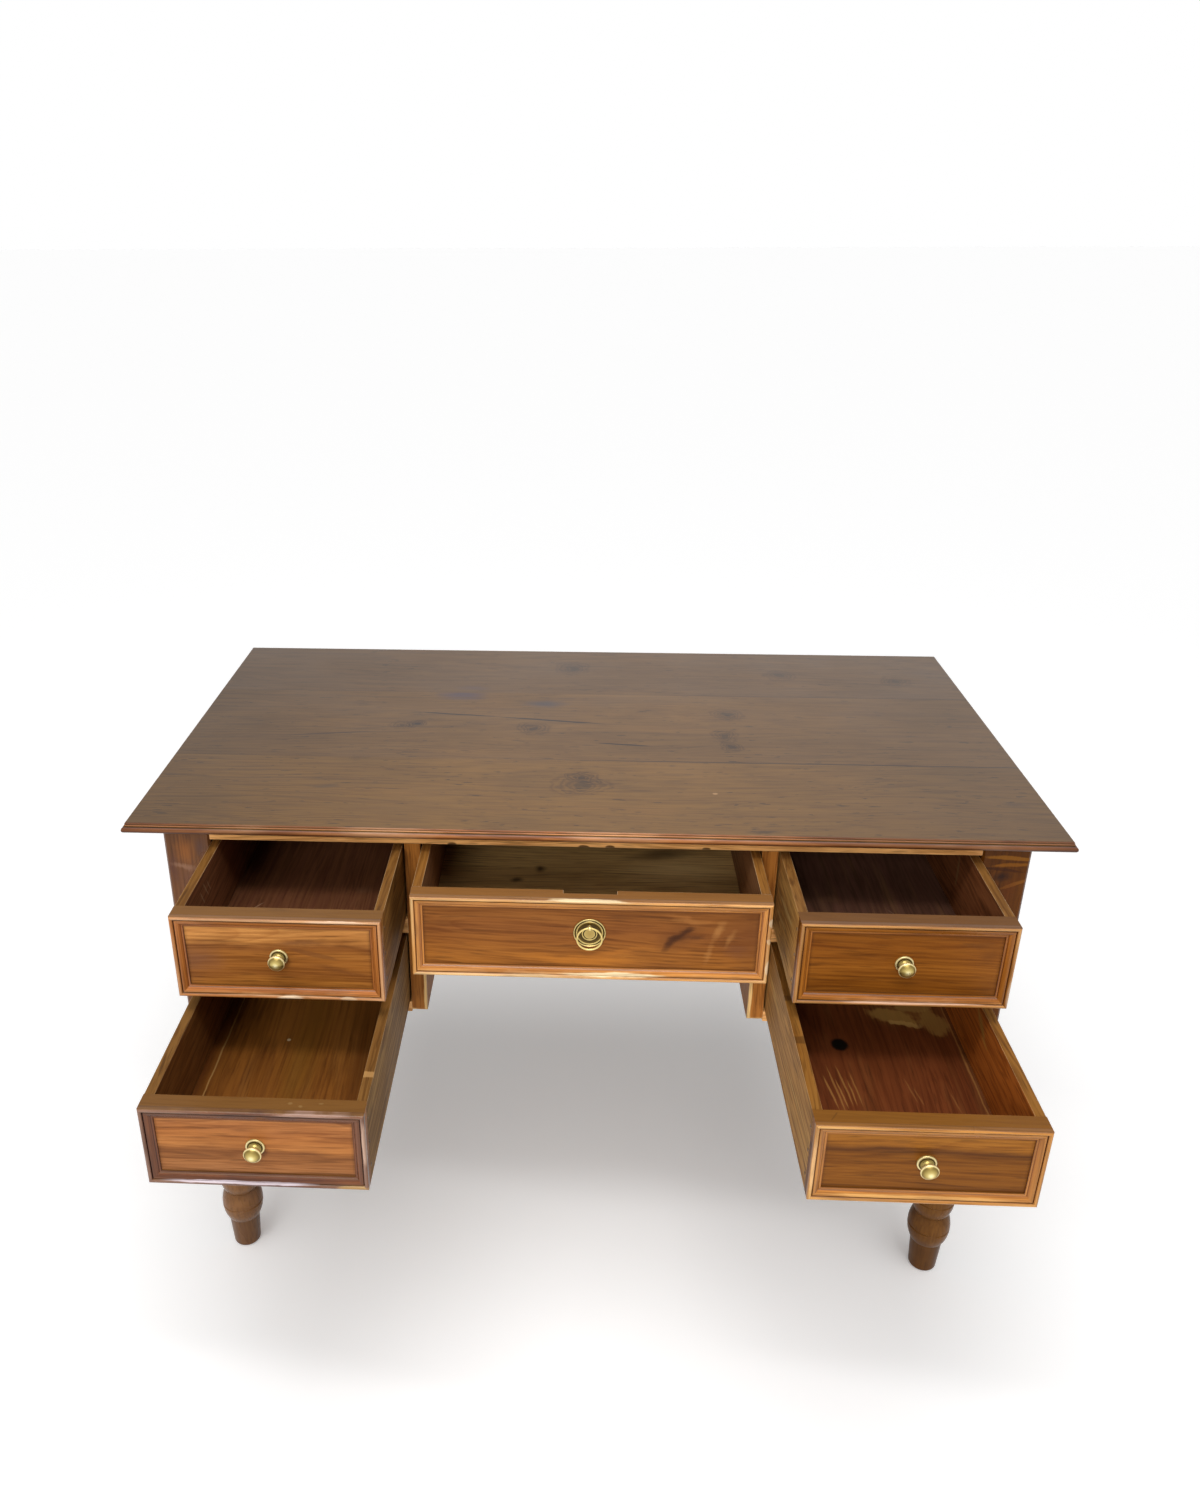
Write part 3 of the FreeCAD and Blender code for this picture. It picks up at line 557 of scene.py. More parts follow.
def board_figure():
    """A sawn board's figure, its grain along X: rings, streaks, fibres, pores, flecks, clouds of stain."""
    tree = bpy.data.node_groups.new("board_figure", "ShaderNodeTree")
    wanted = {"Place": "Vector", "Heart": "Vector", "Ring width": "Float", "Wander": "Float", "Seed": "Float"}
    for name, kind in wanted.items():
        tree.interface.new_socket(name, in_out="INPUT", socket_type=f"NodeSocket{kind}")
    for name in ("Ring", *PATTERNS):
        tree.interface.new_socket(name, in_out="OUTPUT", socket_type="NodeSocketFloat")
    given = add(tree, "NodeGroupInput").outputs
    made = add(tree, "NodeGroupOutput").inputs

    # The trunk grew in slow curves, so the whole figure sways along its length
    inputs = {0: given["Place"], 1: (CURVE_ALONG, 1, 1)}
    drawn = add(tree, "ShaderNodeVectorMath", inputs, operation="MULTIPLY").outputs[0]
    inputs = {"Vector": drawn, "W": given["Seed"], "Scale": 1 / (CURVE_SIZE * MM), "Detail": 2.5}
    drift = add(tree, "ShaderNodeTexNoise", inputs, noise_dimensions="4D").outputs["Color"]
    centred = add(tree, "ShaderNodeVectorMath", {0: drift, 1: NOISE_MIDDLE}, operation="SUBTRACT").outputs[0]
    inputs = {0: centred, "Scale": given["Wander"]}
    swayed = add(tree, "ShaderNodeVectorMath", inputs, operation="SCALE").outputs[0]
    moved = add(tree, "ShaderNodeVectorMath", {0: given["Place"], 1: swayed}, operation="ADD").outputs[0]

    # Rings of uneven width round the heart of the tree
    radius = off_axis(tree, moved, given["Heart"], (0, 1, 1))
    count = add(tree, "ShaderNodeMath", {0: radius, 1: given["Ring width"]}, operation="DIVIDE").outputs[0]
    inputs = {"W": count, "Scale": SWING_RATE, "Detail": 1}
    uneven = add(tree, "ShaderNodeTexNoise", inputs, noise_dimensions="1D").outputs["Fac"]
    inputs = {0: uneven, 1: SWING_FAR, 2: count}
    years = add(tree, "ShaderNodeMath", inputs, operation="MULTIPLY_ADD").outputs[0]
    ring = add(tree, "ShaderNodeMath", {0: years}, operation="FRACT")
    tree.links.new(ring.outputs[0], made["Ring"])

    for name, (along, size, detail) in PATTERNS.items():
        drawn = add(tree, "ShaderNodeVectorMath", {0: moved, 1: (along, 1, 1)}, operation="MULTIPLY")
        inputs = {"Vector": drawn.outputs[0], "W": given["Seed"], "Scale": 1 / (size * MM), "Detail": detail}
        noise = add(tree, "ShaderNodeTexNoise", inputs, noise_dimensions="4D")
        tree.links.new(noise.outputs["Fac"], made[name])
    return tree


FIGURE = board_figure()


class Board:
    """One piece of wood being finished: its colour so far, and what its patterns are drawn from.

    Object coordinates are the desk's own frame, because every piece sits at the origin.
    """

    def __init__(self, name, piece, along, seed, heart=(0, 30, -60), ring=5, wander=90, mitred=False):
        """along is one of the turns above; heart, ring and wander are in millimetres."""
        self.material, self.tree = new_material(name)
        self.low, self.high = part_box(piece)
        self.middle = (self.low + self.high) / 2
        source = add(self.tree, "ShaderNodeTexCoord").outputs
        self.place = source["Object"]
        self.normal = source["Normal"]
        self.part = add(self.tree, "ShaderNodeSeparateXYZ", {0: self.place}).outputs
        inputs = {"Vector": self.place, "Location": self.middle, "Rotation": along}
        lengthways = add(self.tree, "ShaderNodeMapping", inputs, vector_type="TEXTURE").outputs["Vector"]
        if mitred:
            lengthways = self.along_strips(lengthways)
        inputs = {"Place": lengthways, "Heart": Vector(heart) * MM, "Ring width": ring * MM}
        inputs.update({"Wander": wander * MM, "Seed": seed})
        self.figure = add(self.tree, "ShaderNodeGroup", inputs, node_tree=FIGURE).outputs
        # Places shaken about, to draw the outlines of marks by
        inputs = {"Vector": self.place, "Scale": 1 / (STRAY_SIZE * MM), "Detail": 3}
        noise = add(self.tree, "ShaderNodeTexNoise", inputs).outputs["Color"]
        shake = add(self.tree, "ShaderNodeVectorMath", {0: noise, 1: NOISE_MIDDLE}, operation="SUBTRACT")
        self.outlines = {}
        for kind, far in STRAYS.items():
            inputs = {0: shake.outputs[0], 1: [far * MM] * 3, 2: self.place}
            shaken = add(self.tree, "ShaderNodeVectorMath", inputs, operation="MULTIPLY_ADD")
            self.outlines[kind] = shaken.outputs[0]
        self.colour = None

    def rim_gaps(self):
        """How far a point of a front or a frame lies from its nearer end, and from its nearer long edge."""
        near = add(self.tree, "ShaderNodeVectorMath", {0: self.place, 1: self.low}, operation="SUBTRACT")
        far = add(self.tree, "ShaderNodeVectorMath", {0: self.high, 1: self.place}, operation="SUBTRACT")
        inputs = {0: near.outputs[0], 1: far.outputs[0]}
        least = add(self.tree, "ShaderNodeVectorMath", inputs, operation="MINIMUM")
        part = add(self.tree, "ShaderNodeSeparateXYZ", {0: least.outputs[0]}).outputs
        return part["X"], part["Z"]

    def in_from_rim(self):
        """How far in from the rim a point lies, in millimetres."""
        end, edge = self.rim_gaps()
        metres = add(self.tree, "ShaderNodeMath", {0: end, 1: edge}, operation="MINIMUM").outputs[0]
        return add(self.tree, "ShaderNodeMath", {0: metres, 1: 1 / MM}, operation="MULTIPLY").outputs[0]

    def along_strips(self, lengthways):
        """Turn the grain up the two upright strips of a mitred frame."""
        end, edge = self.rim_gaps()
        upright = add(self.tree, "ShaderNodeMath", {0: end, 1: edge}, operation="LESS_THAN").outputs[0]
        part = add(self.tree, "ShaderNodeSeparateXYZ", {0: lengthways}).outputs
        inputs = {"X": part["Y"], "Y": part["X"], "Z": part["Z"]}
        crossed = add(self.tree, "ShaderNodeCombineXYZ", inputs).outputs[0]
        inputs = {FACTOR: upright, FIRST_WAY: lengthways, SECOND_WAY: crossed}
        return add(self.tree, "ShaderNodeMix", inputs, data_type="VECTOR").outputs[MIXED_WAY]

    def years(self, early, late):
        """Soft early wood that darkens to a line of late wood in each ring."""
        stops = [(0.0, early), (0.45, early), (0.88, late), (1.0, early)]
        wood = add(self.tree, "ShaderNodeValToRGB", {"Fac": self.figure["Ring"]}, stops)
        self.colour = wood.outputs["Color"]

    def bands(self, stops, sway, rings):
        """Bands of colour from an upright board's lower edge to its upper one, swaying with the streaks."""
        inputs = {0: self.figure["Cloud"], 1: sway * MM, 2: self.part["Z"]}
        slow = add(self.tree, "ShaderNodeMath", inputs, operation="MULTIPLY_ADD").outputs[0]
        inputs = {0: self.figure["Streak"], 1: QUICK_SWAY * sway * MM, 2: slow}
        swayed = add(self.tree, "ShaderNodeMath", inputs, operation="MULTIPLY_ADD").outputs[0]
        lift = 0.5 * (1 + QUICK_SWAY) * sway * MM
        inputs = {"Value": swayed, "From Min": self.low.z + lift, "From Max": self.high.z + lift}
        share = add(self.tree, "ShaderNodeMapRange", inputs).outputs["Result"]
        self.colour = add(self.tree, "ShaderNodeValToRGB", {"Fac": share}, stops).outputs["Color"]
        stops = [(0.0, "#ffffff"), (0.45, "#ffffff"), (0.9, "#cfb8a4"), (1.0, "#ffffff")]
        lines = add(self.tree, "ShaderNodeValToRGB", {"Fac": self.figure["Ring"]}, stops)
        self.lay(lines.outputs["Color"], rings, "MULTIPLY")

    def lay(self, colour, cover, blend="MIX"):
        """Lay a colour, a hex code or a socket, over what is there, as far as a share or a mask says."""
        if isinstance(colour, str):
            colour = linear(colour)
        inputs = {FACTOR: cover, FIRST: self.colour, SECOND: colour}
        coat = add(self.tree, "ShaderNodeMix", inputs, data_type="RGBA", blend_type=blend)
        self.colour = coat.outputs[MIXED]

    def rise(self, source, low, high, colour, cover, blend="MIX"):
        """Lay a colour where a value goes from a low level to a high one."""
        inputs = {"Value": source, "From Min": low, "From Max": high, "To Max": cover}
        self.lay(colour, add(self.tree, "ShaderNodeMapRange", inputs).outputs["Result"], blend)

    def draw(self, pattern, low, high, colour, cover, blend="MIX"):
        """Lay a colour where a pattern of the board's figure goes from a low level to a high one."""
        self.rise(self.figure[pattern], low, high, colour, cover, blend)

    def grow(self, start, full, colour, cover):
        """Lay a colour that grows along X from a start to where it is full, in millimetres."""
        self.rise(self.part["X"], start * MM, full * MM, colour, cover)

    def grain(self, fibre, pores):
        """Fine fibres and pores, as shares of their full strength."""
        self.draw("Fibre", 0.44, 0.62, "#a08b7a", fibre, "MULTIPLY")
        self.draw("Pore", 0.58, 0.68, "#2a170b", pores)

    def faces(self, towards, low, high, colour, cover):
        """Lay a colour on the faces that look towards a direction, from a low cosine to a high one."""
        inputs = {0: self.normal, 1: towards}
        cosine = add(self.tree, "ShaderNodeVectorMath", inputs, operation="DOT_PRODUCT").outputs["Value"]
        self.rise(cosine, low, high, colour, cover)

    def arrises(self, colour, cover):
        """Rub the rounded arrises of a square board paler, in patches along them."""
        sheer = add(self.tree, "ShaderNodeVectorMath", {0: self.normal}, operation="ABSOLUTE").outputs[0]
        part = add(self.tree, "ShaderNodeSeparateXYZ", {0: sheer}).outputs
        level = add(self.tree, "ShaderNodeMath", {0: part["X"], 1: part["Y"]}, operation="MAXIMUM").outputs[0]
        square = add(self.tree, "ShaderNodeMath", {0: level, 1: part["Z"]}, operation="MAXIMUM").outputs[0]
        inputs = {"Value": square, "From Min": 0.99, "From Max": 0.92, "To Max": cover}
        edge = add(self.tree, "ShaderNodeMapRange", inputs).outputs["Result"]
        inputs = {"Value": self.figure["Streak"], "From Min": 0.42, "From Max": 0.56, "To Min": 0.25}
        patchy = add(self.tree, "ShaderNodeMapRange", inputs).outputs["Result"]
        worn = add(self.tree, "ShaderNodeMath", {0: edge, 1: patchy}, operation="MULTIPLY")
        self.lay(colour, worn.outputs[0])

    def mark(self, spot, reach, turns, colour, cover, outline=None):
        """A crack, dent, stain, painted highlight or painted shade, in millimetres: sharp where it is fine,
        else soft, or as outline says.
        """
        outline = outline or ("sharp" if min(reach) <= FINE else "soft")
        turns = [math.radians(turn) for turn in turns]
        inputs = {"Vector": self.outlines[outline], "Location": Vector(spot) * MM, "Rotation": turns}
        inputs["Scale"] = Vector(reach) * MM
        patch = add(self.tree, "ShaderNodeMapping", inputs, vector_type="TEXTURE").outputs["Vector"]
        away = add(self.tree, "ShaderNodeVectorMath", {0: patch}, operation="LENGTH").outputs["Value"]
        # Fibres of the wood break up the outline
        feather, full = (1.4, 0.2) if outline == "soft" else (0.5, 0.7)
        inputs = {0: self.figure["Fibre"], 1: feather, 2: away}
        broken = add(self.tree, "ShaderNodeMath", inputs, operation="MULTIPLY_ADD").outputs[0]
        self.rise(broken, 1 + feather / 2, full + feather / 2, colour, cover)

    def marks(self, rows, axis, level, deep):
        """Rows of marks on a face square to an axis: its level in metres, the marks' depth in millimetres."""
        for first, second, long, wide, turn, colour, cover, *outline in rows:
            spot = [first, second]
            spot.insert(axis, level / MM)
            reach = [long, wide]
            reach.insert(axis, deep)
            turns = [0, 0]
            turns.insert(axis, turn)
            self.mark(spot, reach, turns, colour, cover, *outline)

    def knot(self, spot, reach, strength):
        """A knot: a dark eye with a few rings of late wood round it."""
        inputs = {"Vector": self.outlines["torn"], "Location": Vector(spot) * MM}
        inputs["Scale"] = Vector(reach) * MM
        patch = add(self.tree, "ShaderNodeMapping", inputs, vector_type="TEXTURE").outputs["Vector"]
        away = add(self.tree, "ShaderNodeVectorMath", {0: patch}, operation="LENGTH").outputs["Value"]
        rings = add(self.tree, "ShaderNodeValToRGB", {"Fac": away}, KNOT_RINGS)
        self.lay(rings.outputs["Color"], strength, "MULTIPLY")

    def skin(self, roughness, bump=0.2, specular=0.15, spread=0.08):
        """Close the finish with its skin of wax or varnish."""
        inputs = {"Value": self.figure["Cloud"], "From Min": 0.3, "From Max": 0.7}
        inputs.update({"To Min": roughness - spread, "To Max": roughness + spread})
        rough = add(self.tree, "ShaderNodeMapRange", inputs).outputs["Result"]
        inputs = {"Height": self.figure["Fibre"], "Strength": bump, "Distance": 0.5 * MM}
        relief = add(self.tree, "ShaderNodeBump", inputs).outputs["Normal"]
        inputs = {"Base Color": self.colour, "Roughness": rough, "Normal": relief, "IOR": 1.5}
        inputs["Specular IOR Level"] = specular
        shader = add(self.tree, "ShaderNodeBsdfPrincipled", inputs).outputs["BSDF"]
        add(self.tree, "ShaderNodeOutputMaterial", {"Surface": shader})
        return self.material


def dress(material, *names):
    """Give CAD pieces a finish."""
    for name in names:
        for slot in nodes[name].material_slots:
            slot.material = material


def soften(width, name):
    """Round the sharp arrises of a board by a width in millimetres, as planing and handling do."""
    weld = nodes[name].modifiers.new("weld", "WELD")
    weld.merge_threshold = 0.002 * MM
    bevel = nodes[name].modifiers.new("arris", "BEVEL")
    bevel.width = width * MM
    bevel.segments = 2
    bevel.limit_method = "ANGLE"
    bevel.angle_limit = math.radians(40)
    shade = nodes[name].modifiers.new("shade", "WEIGHTED_NORMAL")
    shade.keep_sharp = False


def finish_top():
    """Pine stained brown under a worn satin varnish: quiet grain with dark flecks, knots and old cracks."""
    for part, (seed, early, late, streak, left_dark, right_dark) in TOP_BOARDS.items():
        name = f"top_board_{part}"
        board = Board(f"varnished_pine_{name}", name, ALONG_X, seed, heart=(0, 40, -80), ring=7)
        board.years(early, late)
        board.draw("Streak", 0.54, 0.70, streak, 0.25)
        board.draw("Streak", 0.44, 0.34, "#835a28", 0.15)
        board.draw("Cloud", 0.50, 0.68, "#4a3a2a", 0.25)
        board.grain(0.4, 0.2)
        board.draw("Fleck", 0.67, 0.69, "#23170e", 0.65)
        board.grow(-150, -600, "#1e140b", left_dark)
        board.grow(150, 500, "#1e140b", right_dark)
        rows = [row for row in TOP_MARKS if board.low.y < row[1] * MM < board.high.y]
        board.marks(rows, Z, board.high.z, TOP_DEEP)
        for x, y, long, wide, strength in TOP_KNOTS:
            if board.low.y < y * MM < board.high.y:
                board.knot((x, y, board.high.z / MM), (long, wide, TOP_DEEP), strength)
        # The moulded edge, redder, with painted highlights and painted shade across its profile, and darker
        # towards its ends
        flat = board.colour
        inputs = {"Value": board.part["Z"], "From Min": board.low.z, "From Max": board.high.z}
        share = add(board.tree, "ShaderNodeMapRange", inputs).outputs["Result"]
        board.colour = add(board.tree, "ShaderNodeValToRGB", {"Fac": share}, TOP_EDGE).outputs["Color"]
        board.draw("Fibre", 0.44, 0.60, "#a08468", 0.6, "MULTIPLY")
        board.draw("Cloud", 0.52, 0.66, "#4a2818", 0.45)
        board.draw("Cloud", 0.48, 0.36, "#e6b484", 0.3)
        board.grow(100, 400, "#2e180c", 0.58)
        board.grow(-100, -420, "#2e1a14", 0.5)
        moulded = board.colour
        board.colour = flat
        board.faces(UP, 0.97, 0.90, moulded, 1.0)
        # The varnish has dulled towards the left end
        inputs = {"Value": board.part["X"], "From Min": -420 * MM, "From Max": -80 * MM}
        inputs.update({"To Min": 0.23, "To Max": 0.34})
        gleam = add(board.tree, "ShaderNodeMapRange", inputs).outputs["Result"]
        dress(board.skin(0.34, bump=0.10, specular=gleam, spread=0.05), name)
        soften(0.5, name)


def finish_rails():
    """Waxed pine, orange-brown with darker streaks, pale along its worn arrises."""
    rails = {"top_rail": 20.3, "mid_rail_left": 21.7, "mid_rail_centre": 22.9, "mid_rail_right": 23.4}
    rails.update({"bottom_rail_left": 24.6, "bottom_rail_right": 25.2})
    for name, seed in rails.items():
        board = Board(f"waxed_pine_{name}", name, ALONG_X_UPRIGHT, seed)
        board.years("#e6aa68", "#ca8e50")
        if name == "top_rail":
            # Painted light on this one, which lies in shade under the top's overhang
            board.lay("#ffbe74", 0.45)
        board.draw("Streak", 0.54, 0.70, "#8a5528", 0.45)
        board.grain(0.6, 0.4)
        if name == "top_rail":
            board.marks(TOP_RAIL_MARKS, Y, board.low.y, CASE_DEEP)
        board.arrises("#f2d2a6", 0.4)
        dress(board.skin(0.42), name)
        soften(0.8, name)


def finish_panels():
    """Waxed pine, a duller brown than the rails, with clouds of stain."""
    # Each panel's seed, and on which side of it the knees are, for a divider
    panels = {"divider_left": (30.7, 1), "divider_right": (31.9, -1)}
    panels.update({"side_panel_left": (32.3, 0), "side_panel_right": (33.8, 0)})
    for name, (seed, knees) in panels.items():
        along = ALONG_Z if knees else ALONG_Y_UPRIGHT
        board = Board(f"waxed_pine_{name}", name, along, seed, heart=(0, 60, -90), ring=6)
        board.years("#946230", "#875828")
        board.draw("Streak", 0.52, 0.70, "#66401d", 0.35)
        board.draw("Cloud", 0.52, 0.68, "#5a3c20", 0.35)
        if knees:
            # The front edge is rubbed lighter, and down to bare wood beside the knees
            board.faces(FORWARD, 0.5, 0.9, "#a8692c", 0.85)
            beside = board.high.x if knees > 0 else board.low.x
            spot = (beside / MM, board.low.y / MM, 520)
            board.mark(spot, (4, 8, 130), (0, 0, 0), "#e8c080", 0.9)
        board.grain(0.6, 0.4)
        board.arrises("#e0b878", 0.8 if knees else 0.5)
        dress(board.skin(0.5, specular=0.08), name)
        soften(2.2 if knees else 1.0, name)


def finish_backs():
    """Bare pine that has browned in the air: flat and dull, with a rough grain."""
    backs = {"back_panel_left": 36.4, "back_panel_centre": 37.6, "back_panel_right": 38.1}
    for name, seed in backs.items():
        board = Board(f"bare_pine_{name}", name, ALONG_X_UPRIGHT, seed, heart=(0, 50, -70), ring=8, wander=70)
        board.years("#8f673c", "#825c34")
        board.draw("Streak", 0.52, 0.70, "#664628", 0.3)
        board.draw("Cloud", 0.50, 0.68, "#523a28", 0.35)
        board.grain(0.5, 0.4)
        dress(board.skin(0.6, bump=0.3), name)
        soften(0.8, name)


def finish_legs():
    """Turned and polished pine, dark-figured: paler on the bulbs, darker in the necks and grooves."""
    for name, (seed, early, late, dark, turned, gleam) in LEGS.items():
        board = Board(f"turned_pine_{name}", name, ALONG_Z, seed, heart=(0, 34, -30), ring=6, wander=50)
        board.years(early, late)
        # The turned length below the post took less stain
        board.rise(board.part["Z"], POST_FOOT * MM, TURNED_HEAD * MM, turned, 0.6)
        board.draw("Streak", 0.52, 0.68, dark, 0.25)
        board.draw("Cloud", 0.48, 0.66, dark, 0.5)
        board.grain(0.3, 0.25)
        board.marks(POST_MARKS.get(name, ()), Y, board.low.y, CASE_DEEP)
        # Darker from the bulbs into the necks and grooves
        radius = off_axis(board.tree, board.place, board.middle, (1, 1, 0))
        board.rise(radius, BULB_RADIUS * MM, NECK_RADIUS * MM, "#3f2614", 0.4)
        dress(board.skin(0.30, bump=0.12, specular=gleam), name)


def finish_runners():
    """Bare pine, worn and streaked where the drawers slide."""
    board = Board("bare_pine_runners", "drawer_runners", ALONG_Y, 50.2)
    board.years("#8a6238", "#73502d")
    board.draw("Streak", 0.50, 0.66, "#543620", 0.6)
    board.grain(0.6, 0.5)
    dress(board.skin(0.6, bump=0.3), "drawer_runners", "drawer_kickers")


def finish_fronts():
    """Stained and polished pine: each front has its own bands of sap and heart wood."""
    for drawer, (seed, sway, rings, streaks, stops) in FRONTS.items():
        name = f"{drawer}_drawer_front"
        board = Board(f"stained_pine_{name}", name, ALONG_X_UPRIGHT, seed, (0, 20, -70), ring=3, wander=60)
        board.bands(stops, sway, rings)
        board.draw("Streak", 0.54, 0.72, "#5c3418", streaks)
        board.faces(UP, 0.5, 0.9, RIMS[drawer], 0.95)
        board.grain(0.5, 0.3)
        board.marks(FRONT_MARKS.get(drawer, ()), Y, board.low.y, BOX_DEEP)
        board.marks(RIM_MARKS.get(drawer, ()), Z, board.high.z, RIM_DEEP)
        # Old wax and painted shade in the corner along the moulding
        board.rise(board.in_from_rim(), WAX_AND_SHADE_FROM, WAX_AND_SHADE_TO, "#3a2010", 0.32)
        board.faces(UP, 0.5, 0.9, RIMS[drawer], 0.55)
        board.faces(BACKWARD, 0.5, 0.9, "#4a2a17", 0.8)
        board.arrises("#d4b48c", 0.7)
        # The glue line along the moulding's back
        board.faces(FORWARD_AND_UP, 0.90, 0.96, GLUE, 0.8)
        dress(board.skin(0.42, bump=0.12, specular=0.12), name)
        soften(1.4, name)


def finish_mouldings():
    """Planted mouldings of polished pine: bright rubbed beads beside quirks dark with wax and painted shade.
    """
    for drawer, (seed, body, late, rubbed, roughness) in MOULDINGS.items():
        name = f"{drawer}_drawer_moulding"
        material = f"polished_pine_{name}"
        board = Board(material, name, ALONG_X_UPRIGHT, seed, (0, 20, -40), ring=4, wander=40, mitred=True)
        board.years(body, late)
        board.draw("Streak", 0.52, 0.68, late, 0.6)
        inputs = {"Value": board.in_from_rim(), "From Max": MOULDING_WIDE}
        share = add(board.tree, "ShaderNodeMapRange", inputs).outputs["Result"]
        shade = add(board.tree, "ShaderNodeValToRGB", {"Fac": share}, MOULDING_SHADES).outputs["Color"]
        board.lay(shade, 1.0, "MULTIPLY")
        crest = add(board.tree, "ShaderNodeValToRGB", {"Fac": share}, MOULDING_CREST).outputs["Color"]
        inputs = {"Value": board.figure["Streak"], "From Min": 0.40, "From Max": 0.62, "To Max": 0.75}
        patchy = add(board.tree, "ShaderNodeMapRange", inputs).outputs["Result"]
        worn = add(board.tree, "ShaderNodeMath", {0: crest, 1: patchy}, operation="MULTIPLY").outputs[0]
        board.lay(rubbed, worn)
        board.faces(UP, 0.65, 0.92, RIMS[drawer], 0.9)
        # The glue line against the board
        back = board.high.y
        board.rise(board.part["Y"], back - GLUE_FROM * MM, back - GLUE_TO * MM, GLUE, 0.6)
        face = board.low.y + MOULDING_SINK * MM
        board.marks(MOULDING_MARKS[drawer], Y, face, MOULDING_DEEP)
        if drawer == "centre":
            # A painted highlight along the middle of the upper bead
            board.mark((0, face / MM, 741), (62, 5, 2), (0, 0, 0), "#f2dcae", 0.75)
        board.grain(0.45, 0.25)
        dress(board.skin(roughness, bump=0.08, specular=0.32, spread=0.05), name)


def finish_side(name, seed, outwards, outside, late, inside, rim):
    """Plain pine, tan and rubbed outside, dark and dusty inside, with an olive rim."""
    board = Board(f"rubbed_pine_{name}", name, ALONG_Y_UPRIGHT, seed, heart=(0, 50, -60), ring=6, wander=100)
    board.years(outside, late)
    board.draw("Streak", 0.54, 0.72, late, 0.35)
    board.draw("Streak", 0.46, 0.34, "#b8975f", 0.25)
    board.faces((-outwards, 0, 0), 0.3, 0.8, inside, 0.9)
    board.faces(UP, 0.5, 0.9, rim, 0.85)
    board.grain(0.6, 0.4)
    board.marks(SIDE_MARKS.get(name, ()), X, board.low.x, BOX_DEEP)
    board.arrises("#d2b284", 0.7)
    dress(board.skin(0.55, specular=0.08), name)
    soften(1.5, name)


def finish_box_back(name, seed, outside, late, inside):
    """Plain pine, tan outside and dark inside."""
    board = Board(f"rubbed_pine_{name}", name, ALONG_X_UPRIGHT, seed, heart=(0, 40, -60), ring=6, wander=100)
    board.years(outside, late)
    board.faces(FORWARD, 0.3, 0.8, inside, 0.9)
    board.grain(0.6, 0.4)
    dress(board.skin(0.55, specular=0.08), name)
    soften(0.8, name)


def finish_bottom(name, seed, along, floor, late, outside, rows):
    """Plain pine with old stain, scratched and spotted by what lay in the drawer, with some painted light and
    shade.
    """
    board = Board(f"rubbed_pine_{name}", name, along, seed, heart=(0, 60, -70), ring=6, wander=60)
    board.years(floor, late)
    board.draw("Streak", 0.52, 0.70, late, 0.6)
    board.draw("Streak", 0.45, 0.33, outside, 0.1)
    board.grain(0.4, 0.3)
    if name == "lower_right_drawer_bottom":
        # A black knot
        board.mark((329, -394, board.high.z / MM), (12, 14, 4), (0, 0, 0), "#0c0d0a", 0.98)
    board.marks(rows, Z, board.high.z, BOX_DEEP)
    dress(board.skin(0.5, specular=0.12), name)


def finish_boxes():
    """The drawers' sides, backs and bottoms."""
    for drawer, (seed, outside, late, inside, floor, floor_late) in BOXES.items():
        stem = f"{drawer}_drawer"
        for side, outwards in (("left", -1), ("right", 1)):
            name = f"{stem}_side_{side}"
            finish_side(name, seed + outwards, outwards, outside, late, inside, RIMS[drawer])
        finish_box_back(f"{stem}_back", seed + 2, outside, late, inside)
        along = ALONG_X if drawer == "centre" else ALONG_Y
        finish_bottom(f"{stem}_bottom", seed + 3, along, floor, floor_late, outside, BOTTOM_MARKS[drawer])


def turned_brass(name, piece, tones):
    """Cast and turned brass with its lacquer gone: painted highlights on its crowns, dirt and painted shade
    in its hollows.
    """
    material, tree = new_material(name)
    low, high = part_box(piece)
    place = add(tree, "ShaderNodeTexCoord").outputs["Object"]
    radius = off_axis(tree, place, (low + high) / 2, (1, 0, 1))
    reach = tones[-1][0]
    share = add(tree, "ShaderNodeMapRange", {"Value": radius, "From Max": reach * MM}).outputs["Result"]
    stops = [(away / reach, code) for away, code in tones]
    tone = add(tree, "ShaderNodeValToRGB", {"Fac": share}, stops).outputs["Color"]
    # Fine casting mottle, and dirt with painted shade where the brass closes in on itself
    inputs = {"Vector": place, "Scale": 1 / (4 * MM), "Detail": 3}
    mottle = add(tree, "ShaderNodeTexNoise", inputs).outputs["Fac"]
    hollow = add(tree, "ShaderNodeAmbientOcclusion", {"Distance": 12 * MM}, only_local=True, samples=8)
    inputs = {0: mottle, 1: 0.3, 2: hollow.outputs["AO"]}
    open_share = add(tree, "ShaderNodeMath", inputs, operation="MULTIPLY_ADD").outputs[0]
    inputs = {"Value": open_share, "From Min": 0.88, "From Max": 0.46, "To Max": 0.95}
    dirt_and_shade = add(tree, "ShaderNodeMapRange", inputs).outputs["Result"]
    inputs = {FACTOR: dirt_and_shade, FIRST: tone, SECOND: linear("#3a2b0e")}
    colour = add(tree, "ShaderNodeMix", inputs, data_type="RGBA").outputs[MIXED]
    inputs = {"Value": open_share, "From Min": 0.5, "From Max": 1.0, "To Min": 0.75, "To Max": 0.3}
    rough = add(tree, "ShaderNodeMapRange", inputs).outputs["Result"]
    inputs = {"Base Color": colour, "Roughness": rough, "Metallic": 0.7}
    shader = add(tree, "ShaderNodeBsdfPrincipled", inputs).outputs["BSDF"]
    add(tree, "ShaderNodeOutputMaterial", {"Surface": shader})
    return material


def finish_brass():
    """The knobs and the ring pull."""
    turned = {f"{drawer}_drawer_knob": KNOB_TONES for drawer in FRONTS if drawer != "centre"}
    turned.update({"pull_plate": PLATE_TONES, "pull_eye": RING_TONES, "pull_ring": RING_TONES})
    for name, tones in turned.items():
        dress(turned_brass(f"aged_brass_{name}", name, tones), name)


